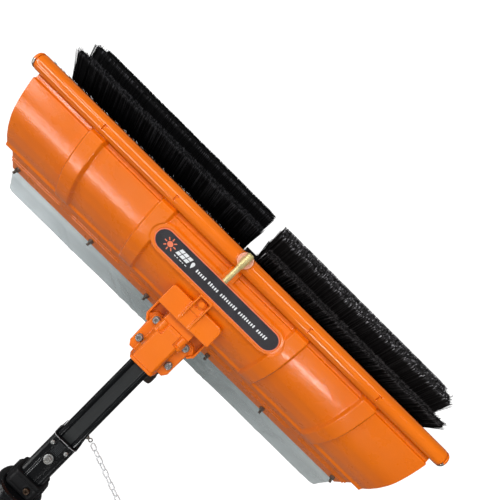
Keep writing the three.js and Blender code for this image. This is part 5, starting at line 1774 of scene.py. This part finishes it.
show_field(
    "sleeve_moulding", sleeve, (-22.5, -463.5, 22.5), (22.5, -348.5, 62.5),
    0.5, GLOSS, "pole_socket", "gloss_black", "pole_sleeve",
)
make_sleeve_highlights()
for i, x in enumerate(RIVET_X):
    make_rivet(i + 1, x)
make_plunger()
show_field(
    "collar_moulding", collar, (-31, -462.5, 18.5), (31, -434, 65.5),
    0.55, BLACK, "pole_socket", "black_plastic", "pole_collar",
)
make_collar_screw()
make_coupling()

# ---------------------------------------------------------------- brush roller
ROWS = 14
FIRST_ROW = {LEFT: 80.0, RIGHT: 31.0}
BRISTLE_END = {LEFT: 380.0, RIGHT: 375.0}
TIP_LIMIT = {LEFT: 388.5, RIGHT: 387.0}
TIP_RADIUS = {LEFT: 93.7, RIGHT: 93.0}
SEEDS = {LEFT: 210, RIGHT: 220}
BRISTLE_START = 12.6
ROOT_RADIUS = 30.6
TUFT_PITCH = 5.2
STRANDS_PER_TUFT = 24


def degrees_of(angle):
    """Degrees from +y towards +z, from -180 to 180."""
    return (math.degrees(angle) + 180.0) % 360.0 - 180.0


def near(degrees, target):
    return abs(degrees - target) < 1


def row_angle(side, row):
    """The angle of one row; a few rows, bent with use, lean a little."""
    angle = math.radians(FIRST_ROW[side]) + row * 2 * math.pi / ROWS
    degrees = degrees_of(angle)
    if side == RIGHT and near(degrees, 56.7):
        return angle + math.radians(6.4)
    if side == LEFT and 20 < degrees < 60:
        return angle - math.radians(3.4)
    if side == LEFT and near(degrees, 80.0):
        return angle + math.radians(1.5)
    return angle


def half_width(side, degrees):
    """Half the width of a row at its tips; one row of the right half is splayed from long use."""
    if side == RIGHT:
        return 14.5 if near(degrees, 31.0) else 5.6
    return 5.6 if near(degrees, 50.9) else 7.4


def on_row(side, angle, x, out, across):
    """Points at x from the middle, out from the axle and across the row."""
    radial = np.array([0, math.cos(angle), math.sin(angle)])
    tangent = np.array([0, -math.sin(angle), math.cos(angle)])
    place = np.multiply.outer(side * x, UNIT_X) + np.multiply.outer(out, radial)
    return place + np.multiply.outer(across, tangent)


def strand_tones(side, degrees, across, at_start, tone, pick):
    """Strand tone and tip glow, set apart on the rows that face up or towards +y: painted light
    and shade on whole rows, and painted glints on bright ends and strands.
    """
    if side == LEFT:
        if near(degrees, 81.5):
            return 0.6 * tone**4, np.where((across < -0.86) & (pick < 0.6), 2.0, 0.5 * pick**2)
        if near(degrees, 50.9):
            return tone**2.6, 0.5 * pick**2
        if near(degrees, 25.2):
            return 0.03 * tone**4, np.where(across > 0.80, 0.85 * pick, 0.0)
        if near(degrees, 2.9):
            return 0.03 * tone**4, np.zeros(len(pick))
    elif near(degrees, 31.0):
        bright = (pick > 0.87) & (across > -0.6)
        return 0.35 * tone**3 + 0.10, np.where(bright, 1.7, 0.20 * pick)
    elif near(degrees, 63.1):
        bright = at_start & (across > 0.55) & (pick < 0.5)
        return np.where(bright, 2.0, tone**1.1), np.where(across > 0.7, 0.14 * pick, 0.04)
    elif degrees > 64:
        return tone**0.7, 0.35 * pick
    return 0.6 * tone**4, 0.5 * pick**2


def row_strands(random, side, row):
    """Root, middle and tip of each strand in a row, with its width, tone and glow."""
    angle = row_angle(side, row)
    degrees = degrees_of(angle)
    half = half_width(side, degrees)
    start, end = BRISTLE_START, BRISTLE_END[side]
    tufts = int((end - start) / TUFT_PITCH)
    centres = start + TUFT_PITCH * (np.arange(tufts) + 0.5)
    low = np.convolve(random.normal(0, 1, tufts + 8), np.ones(3) / 3, "same")[4 : 4 + tufts]
    bend = np.convolve(random.normal(0, 1, tufts + 16), np.ones(7) / 7, "same")[8 : 8 + tufts]
    centre = np.repeat(centres, STRANDS_PER_TUFT)
    low = np.repeat(low, STRANDS_PER_TUFT)
    bend = np.repeat(bend, STRANDS_PER_TUFT)
    count = len(centre)
    along = random.uniform(-1, 1, count)
    across = random.uniform(-1, 1, count)
    across = np.sign(across) * np.abs(across) ** 0.7
    root_x = centre + 1.7 * along
    tip_x = centre + 3.6 * along + random.normal(0, 0.7, count) + 1.4 * bend
    # the ends of each row splay outwards
    outer_end = np.clip((centre - (end - 26)) / 26, 0, 1)
    inner_end = np.clip((start + 16 - centre) / 16, 0, 1)
    tip_x = tip_x + 9.5 * outer_end**2 * random.uniform(0.15, 1.0, count)
    tip_x = tip_x - 3.6 * inner_end**2 * random.uniform(-0.2, 1.0, count)
    reach = TIP_RADIUS[side] + 0.2 * low + random.normal(0, 0.22, count)
    reach = reach - 3.0 * outer_end**3 * random.uniform(0, 1, count)
    reach = reach - 2.2 * inner_end**3 * random.uniform(0, 1, count)
    reach = np.clip(reach, 84, 94.6)
    root_across = 4.4 * across
    tip_across = half * across + random.normal(0, 0.4, count)
    # a few stray strands stick out
    stray = random.random(count) < 0.012
    tip_x = tip_x + stray * random.normal(0, 4.0, count)
    tip_across = tip_across + stray * random.normal(0, 2.0, count)
    tip_x = np.clip(tip_x, 10.7, TIP_LIMIT[side])
    middle = 0.52
    joints = []
    for part, x_part in ((0, 0), (middle, middle - 0.12), (1, 1)):
        x = root_x + (tip_x - root_x) * x_part
        out = ROOT_RADIUS + (reach - ROOT_RADIUS) * part
        sideways = root_across + (tip_across - root_across) * part
        joints.append(on_row(side, angle, x, out, sideways))
    width = random.uniform(0.30, 0.46, count)
    tone = random.random(count)
    pick = random.random(count)
    at_start = (centre < start + TUFT_PITCH) & (along < -0.4)
    tone, glow = strand_tones(side, degrees, across, at_start, tone, pick)
    return np.stack(joints, 1), width, tone, glow


def add_row_heart(piece, random, side, row):
    """A dense heart inside a row, so that no light comes through it."""
    angle = row_angle(side, row)
    degrees = degrees_of(angle)
    half = half_width(side, degrees)
    top, wide = (92.2, 0.86) if side == LEFT and -5 < degrees < 30 else (90.6, 0.72)
    stations = 61
    x = np.linspace(BRISTLE_START + 2.2, BRISTLE_END[side] - 3.0, stations)
    up = [(ROOT_RADIUS, 3.6), (60, 0.55 * half), (86.5, 0.78 * half), (top, wide * half)]
    out, across = np.array([(radius, -width) for radius, width in up] + up[::-1]).T
    jitter = random.normal(0, 0.35, (stations, 8))
    points = on_row(side, angle, x[:, None], out + jitter * (out > 40), across)
    caps = np.array([[0, 1, 2, 7], [2, 3, 4, 5], [2, 5, 6, 7]])
    quads = grid_quads(stations, 8, close_columns=True)
    piece.add(points, np.concatenate([quads, caps[:, ::-1], caps + (stations - 1) * 8]))


def make_bristles(name, side, seed, rows):
    """Three-sided strands in two lengths each, with the hearts of their rows."""
    random = np.random.default_rng(seed)
    strands = [row_strands(random, side, row) for row in rows]
    joints, width, tone, glow = (np.concatenate(part) for part in zip(*strands))
    count = len(joints)
    along = unit(joints[:, 2] - joints[:, 0])
    first = unit(UNIT_X - along * along[:, :1])
    second = np.cross(along, first)
    spin = np.random.default_rng(seed + 1).uniform(0, 2 * math.pi, count)
    angle = (spin[:, None] + np.arange(3) * 2 * math.pi / 3)[..., None]
    ring = np.cos(angle) * first[:, None] + np.sin(angle) * second[:, None]
    # strands thin from root to tip
    radii = width[:, None] * np.array([1.25, 1.05, 0.85])
    points = joints[:, :, None] + radii[:, :, None, None] * ring[:, None]
    sides = grid_quads(3, 3, close_columns=True)[:, [0, 3, 2, 1]]
    ends = np.array([[6, 7, 8], [2, 1, 0]])
    base = np.arange(count)[:, None, None] * 9
    piece = Piece()
    piece.add(points, (base + sides).reshape(-1, 4), (base + ends).reshape(-1, 3))
    for row in rows:
        add_row_heart(piece, random, side, row)
    item = piece.build(name, BRISTLE[side])
    mesh = item.data
    tipness = np.tile(np.repeat([0, 0.55, 1], 3), count)
    for attribute, values in (
        ("tipness", tipness), ("strand", np.repeat(tone, 9)), ("glow", np.repeat(glow, 9))
    ):
        full = np.zeros(len(mesh.vertices), np.float32)
        full[: count * 9] = values
        mesh.attributes.new(attribute, "FLOAT", "POINT").data.foreach_set("value", full)
    return item


def to_side(profile, side):
    """A profile drawn for the right, mirrored for the left."""
    return profile if side == RIGHT else [(radius, -x) for radius, x in profile][::-1]


def make_tuft_tube(side):
    """The ribbed tube that holds the tufts."""
    profile = [(8.4, 12.0), (29.4, 12.0), (30.0, 12.6)]
    profile += repeated(14.0, 372, 7.8, ((30.0, 0), (29.5, 0.5), (29.5, 1.2), (30.0, 1.7)))
    profile += [(30.0, 373.4), (29.4, 374.0), (27.4, 374.0), (27.0, 373.4), (27.0, 366.3),
                (8.4, 366.0), (8.4, 12.0)]
    piece = Piece()
    piece.lathe(to_side(profile, side), ABOUT_X, (0, 0, 0), 72)
    name = SIDE_NAMES[side]
    node = "brush_core_" + name
    piece.show("tuft_tube_" + name, BLACK, 35, "roller", "black_plastic", node)


def make_end_nut(side):
    near_face, far_face = 377.4, 383.6
    profile = [(6.3, near_face), (9.6, near_face), (11.5, near_face + 0.8),
               (11.5, far_face - 0.8), (9.8, far_face), (7.0, far_face), (6.3, far_face - 0.4),
               (6.3, near_face)]
    hex_rings = (2, 3) if side == RIGHT else (4, 5)
    piece = Piece()
    piece.lathe(to_side(profile, side), ABOUT_X, (0, 0, 0), 48, hex_rings=hex_rings)
    name = SIDE_NAMES[side]
    node = "shaft_nut_" + name
    piece.show("end_nut_" + name, STEEL, 32, "roller", "bright_steel", node)


def make_axle():
    thread = ((5.9, 0), (5.45, 0.4), (5.9, 0.8))
    profile = [(0, -388), (5.3, -388), (5.9, -387.4)]
    profile += repeated(-386.6, -377.6, 0.8, thread)
    profile += [(5.9, -377.2), (7.6, -377.0), (8.0, -376.4), (8.0, 376.4), (7.6, 377.0),
                (5.9, 377.2)]
    profile += repeated(377.8, 386.6, 0.8, thread)
    profile += [(5.9, 387.4), (5.3, 388), (0, 388)]
    piece = Piece()
    piece.lathe(profile, ABOUT_X, (0, 0, 0), 40)
    piece.show("axle_shaft", STEEL, 35, "roller", "bright_steel", "roller_shaft")


for side in (LEFT, RIGHT):
    name = SIDE_NAMES[side]
    # even rows, then odd rows
    item = make_bristles("brush_rows_%s_a" % name, side, SEEDS[side], range(0, ROWS, 2))
    register(item, "roller", "bristle", "bristles_" + name)
    item = make_bristles("brush_rows_%s_b" % name, side, SEEDS[side] + 1, range(1, ROWS, 2))
    register(item, "roller", "bristle")
    make_tuft_tube(side)
    make_end_nut(side)
make_axle()

# ---------------------------------------------------------------- CAD pieces kept as they are
for node, material in (
    ("drive_case_left", DARK_CASE), ("drive_case_right", DARK_CASE), ("bearing_left", STEEL),
    ("bearing_right", STEEL), ("drive_belt", RUBBER), ("gear_motor", DULL),
    ("motor_pulley", STEEL), ("driven_pulley", DULL),
):
    item = CAD_NODES[node]
    mesh = item.data
    mesh.materials.clear()
    mesh.materials.append(material)
    mesh.polygons.foreach_set("use_smooth", np.ones(len(mesh.polygons), bool))
    mesh.set_sharp_from_angle(angle=math.radians(28))
    bevel = item.modifiers.new("edge", "BEVEL")
    bevel.width = 0.00035
    bevel.segments = 2
    bevel.limit_method = "ANGLE"
    bevel.angle_limit = math.radians(40)


# ---------------------------------------------------------------- floor, light, camera (m)
def make_floor():
    """A dull floor that looks white to the camera, also through the apron."""
    z = -0.1412
    corners = [(-6, -6, z), (6, -6, z), (6, 7, z), (-6, 7, z)]
    mesh = bpy.data.meshes.new("floor")
    mesh.from_pydata(corners, [], [(0, 1, 2, 3)])
    floor = link(bpy.data.objects.new("floor", mesh))
    shader = Shader("floor_pale")
    shader.set("Base Color", (0.16, 0.16, 0.16, 1))
    shader.set("Roughness", 0.9)
    shader.set("Emission Color", (1, 1, 1, 1))
    rays = shader.add("LightPath").outputs
    seen = shader.calc("MAXIMUM", rays["Is Camera Ray"], rays["Is Transmission Ray"])
    extra_glow, base_glow = 0.98, 0.02
    glow = shader.calc("MULTIPLY_ADD", seen, extra_glow, base_glow)
    shader.set("Emission Strength", glow)
    shader.set("Specular IOR Level", 0.1)
    mesh.materials.append(shader.material)


def make_world():
    """White to the camera; otherwise brightest high on the left and dim in reflections."""
    world = bpy.data.worlds.new("studio")
    bpy.context.scene.world = world
    world.use_nodes = True
    nodes = Nodes(world.node_tree)
    background = world.node_tree.nodes["Background"]
    bright_side = nodes.add("VectorMath")
    bright_side.operation = "DOT_PRODUCT"
    nodes.feed(bright_side.inputs[0], nodes.add("TexCoord").outputs["Generated"])
    bright_side.inputs[1].default_value = (-0.42, -0.10, 0.90)
    toward = bright_side.outputs["Value"]
    sky = nodes.ramp(toward, over=(-0.5, 0.95), to=(0.07, 0.58), curve="LINEAR")
    rays = nodes.add("LightPath").outputs
    glossy_change, full = -0.75, 1.0
    dimming = nodes.calc("MULTIPLY_ADD", rays["Is Glossy Ray"], glossy_change, full)
    strength = nodes.calc("MAXIMUM", nodes.multiply(sky, dimming), rays["Is Camera Ray"])
    nodes.feed(background.inputs["Strength"], strength)
    background.inputs["Color"].default_value = (1.0, 1.0, 1.0, 1)


# Area lights: name, place, aim, width, length, watts, what they light, axis of the length
BOTH, MATT, GLOSSY = (True, True), (True, False), (False, True)
ALONG_X, ALONG_Y = (1, 0, 0), (0, 1, 0)
LIGHTS = (
    ("key_soft", (-0.6, 1.35, 1.9), (0, 0.5, 0.0), 0.45, 0.9, 18.2, MATT, ALONG_X),
    ("key_sheen", (-0.75, 1.35, 1.9), (0, 0.5, 0.0), 0.45, 0.9, 4, GLOSSY, ALONG_X),
    ("fill_right", (0.75, 1.0, 1.7), (0.1, 0.5, 0.0), 0.7, 0.7, 9, MATT, ALONG_X),
    ("left_soft", (-1.6, 0.3, 0.9), (0, 0.5, 0.0), 0.8, 0.5, 5, BOTH, ALONG_X),
    ("low_strip", (-0.72, -0.66, 0.66), (-0.2, 0.5, 0.06), 0.19, 0.70, 2.7, GLOSSY, ALONG_X),
    ("low_strip_right", (0.50, -0.42, 0.78), (0.16, 0.5, 0.06), 0.09, 0.24, 1.3, GLOSSY,
     ALONG_X),
    ("fill_low", (-0.2, -0.7, 1.2), (0, 0.45, 0), 0.6, 1.0, 4.5, MATT, ALONG_X),
    # thin strips overhead draw the line along the crest of the spray tube
    ("crest_left", (-0.90, 0.58, 1.3), (-0.90, 0.57, 0.0), 0.08, 0.36, 1.5, GLOSSY, ALONG_X),
    ("crest_right", (0.45, 1.06, 1.3), (0.45, 0.60, 0.0), 0.08, 0.70, 1.5, GLOSSY, ALONG_X),
    ("crest_middle", (0.225, 1.06, 1.3), (0.225, 0.60, 0.0), 0.08, 0.14, 1.2, GLOSSY, ALONG_X),
    # a strip along the pole
    ("pole_strip", (-1.05, 0.05, 1.05), (0, 0.1, 0.0), 0.08, 1.1, 2.6, GLOSSY, ALONG_Y),
)


def add_light(name, place, aim, width, length, watts, lights, along):
    data = bpy.data.lights.new(name, "AREA")
    data.shape = "RECTANGLE"
    data.size, data.size_y = width, length
    data.energy = watts
    lamp = link(bpy.data.objects.new(name, data))
    lamp.visible_diffuse, lamp.visible_glossy = lights
    lamp.location = place
    ahead = (Vector(aim) - Vector(place)).normalized()
    # the length follows the given axis as far as it can
    long_axis = (Vector(along) - ahead * ahead.dot(Vector(along))).normalized()
    turned = Matrix((long_axis.cross(-ahead), long_axis, -ahead)).transposed()
    lamp.rotation_euler = turned.to_euler()


def add_camera():
    data = bpy.data.cameras.new("camera")
    camera = link(bpy.data.objects.new("camera", data))
    data.sensor_width = 36.0
    data.lens = 35.28
    right = Vector((0.709959, 0.703433, 0.033756)).normalized()
    up = Vector((-0.703546, 0.710573, -0.010428))
    up = (up - right * up.dot(right)).normalized()
    turned = Matrix((right, up, right.cross(up))).transposed()
    place = Vector((-0.028165, 0.553841, 0.737417))
    camera.matrix_world = Matrix.Translation(place) @ turned.to_4x4()
    data.clip_start, data.clip_end = 0.02, 50
    bpy.context.scene.camera = camera


make_floor()
make_world()
for light in LIGHTS:
    add_light(*light)
add_camera()
scene = bpy.context.scene
scene.cycles.diffuse_bounces = 2
scene.view_settings.view_transform = "Standard"
scene.view_settings.look = "None"
scene.view_settings.exposure = 0.0
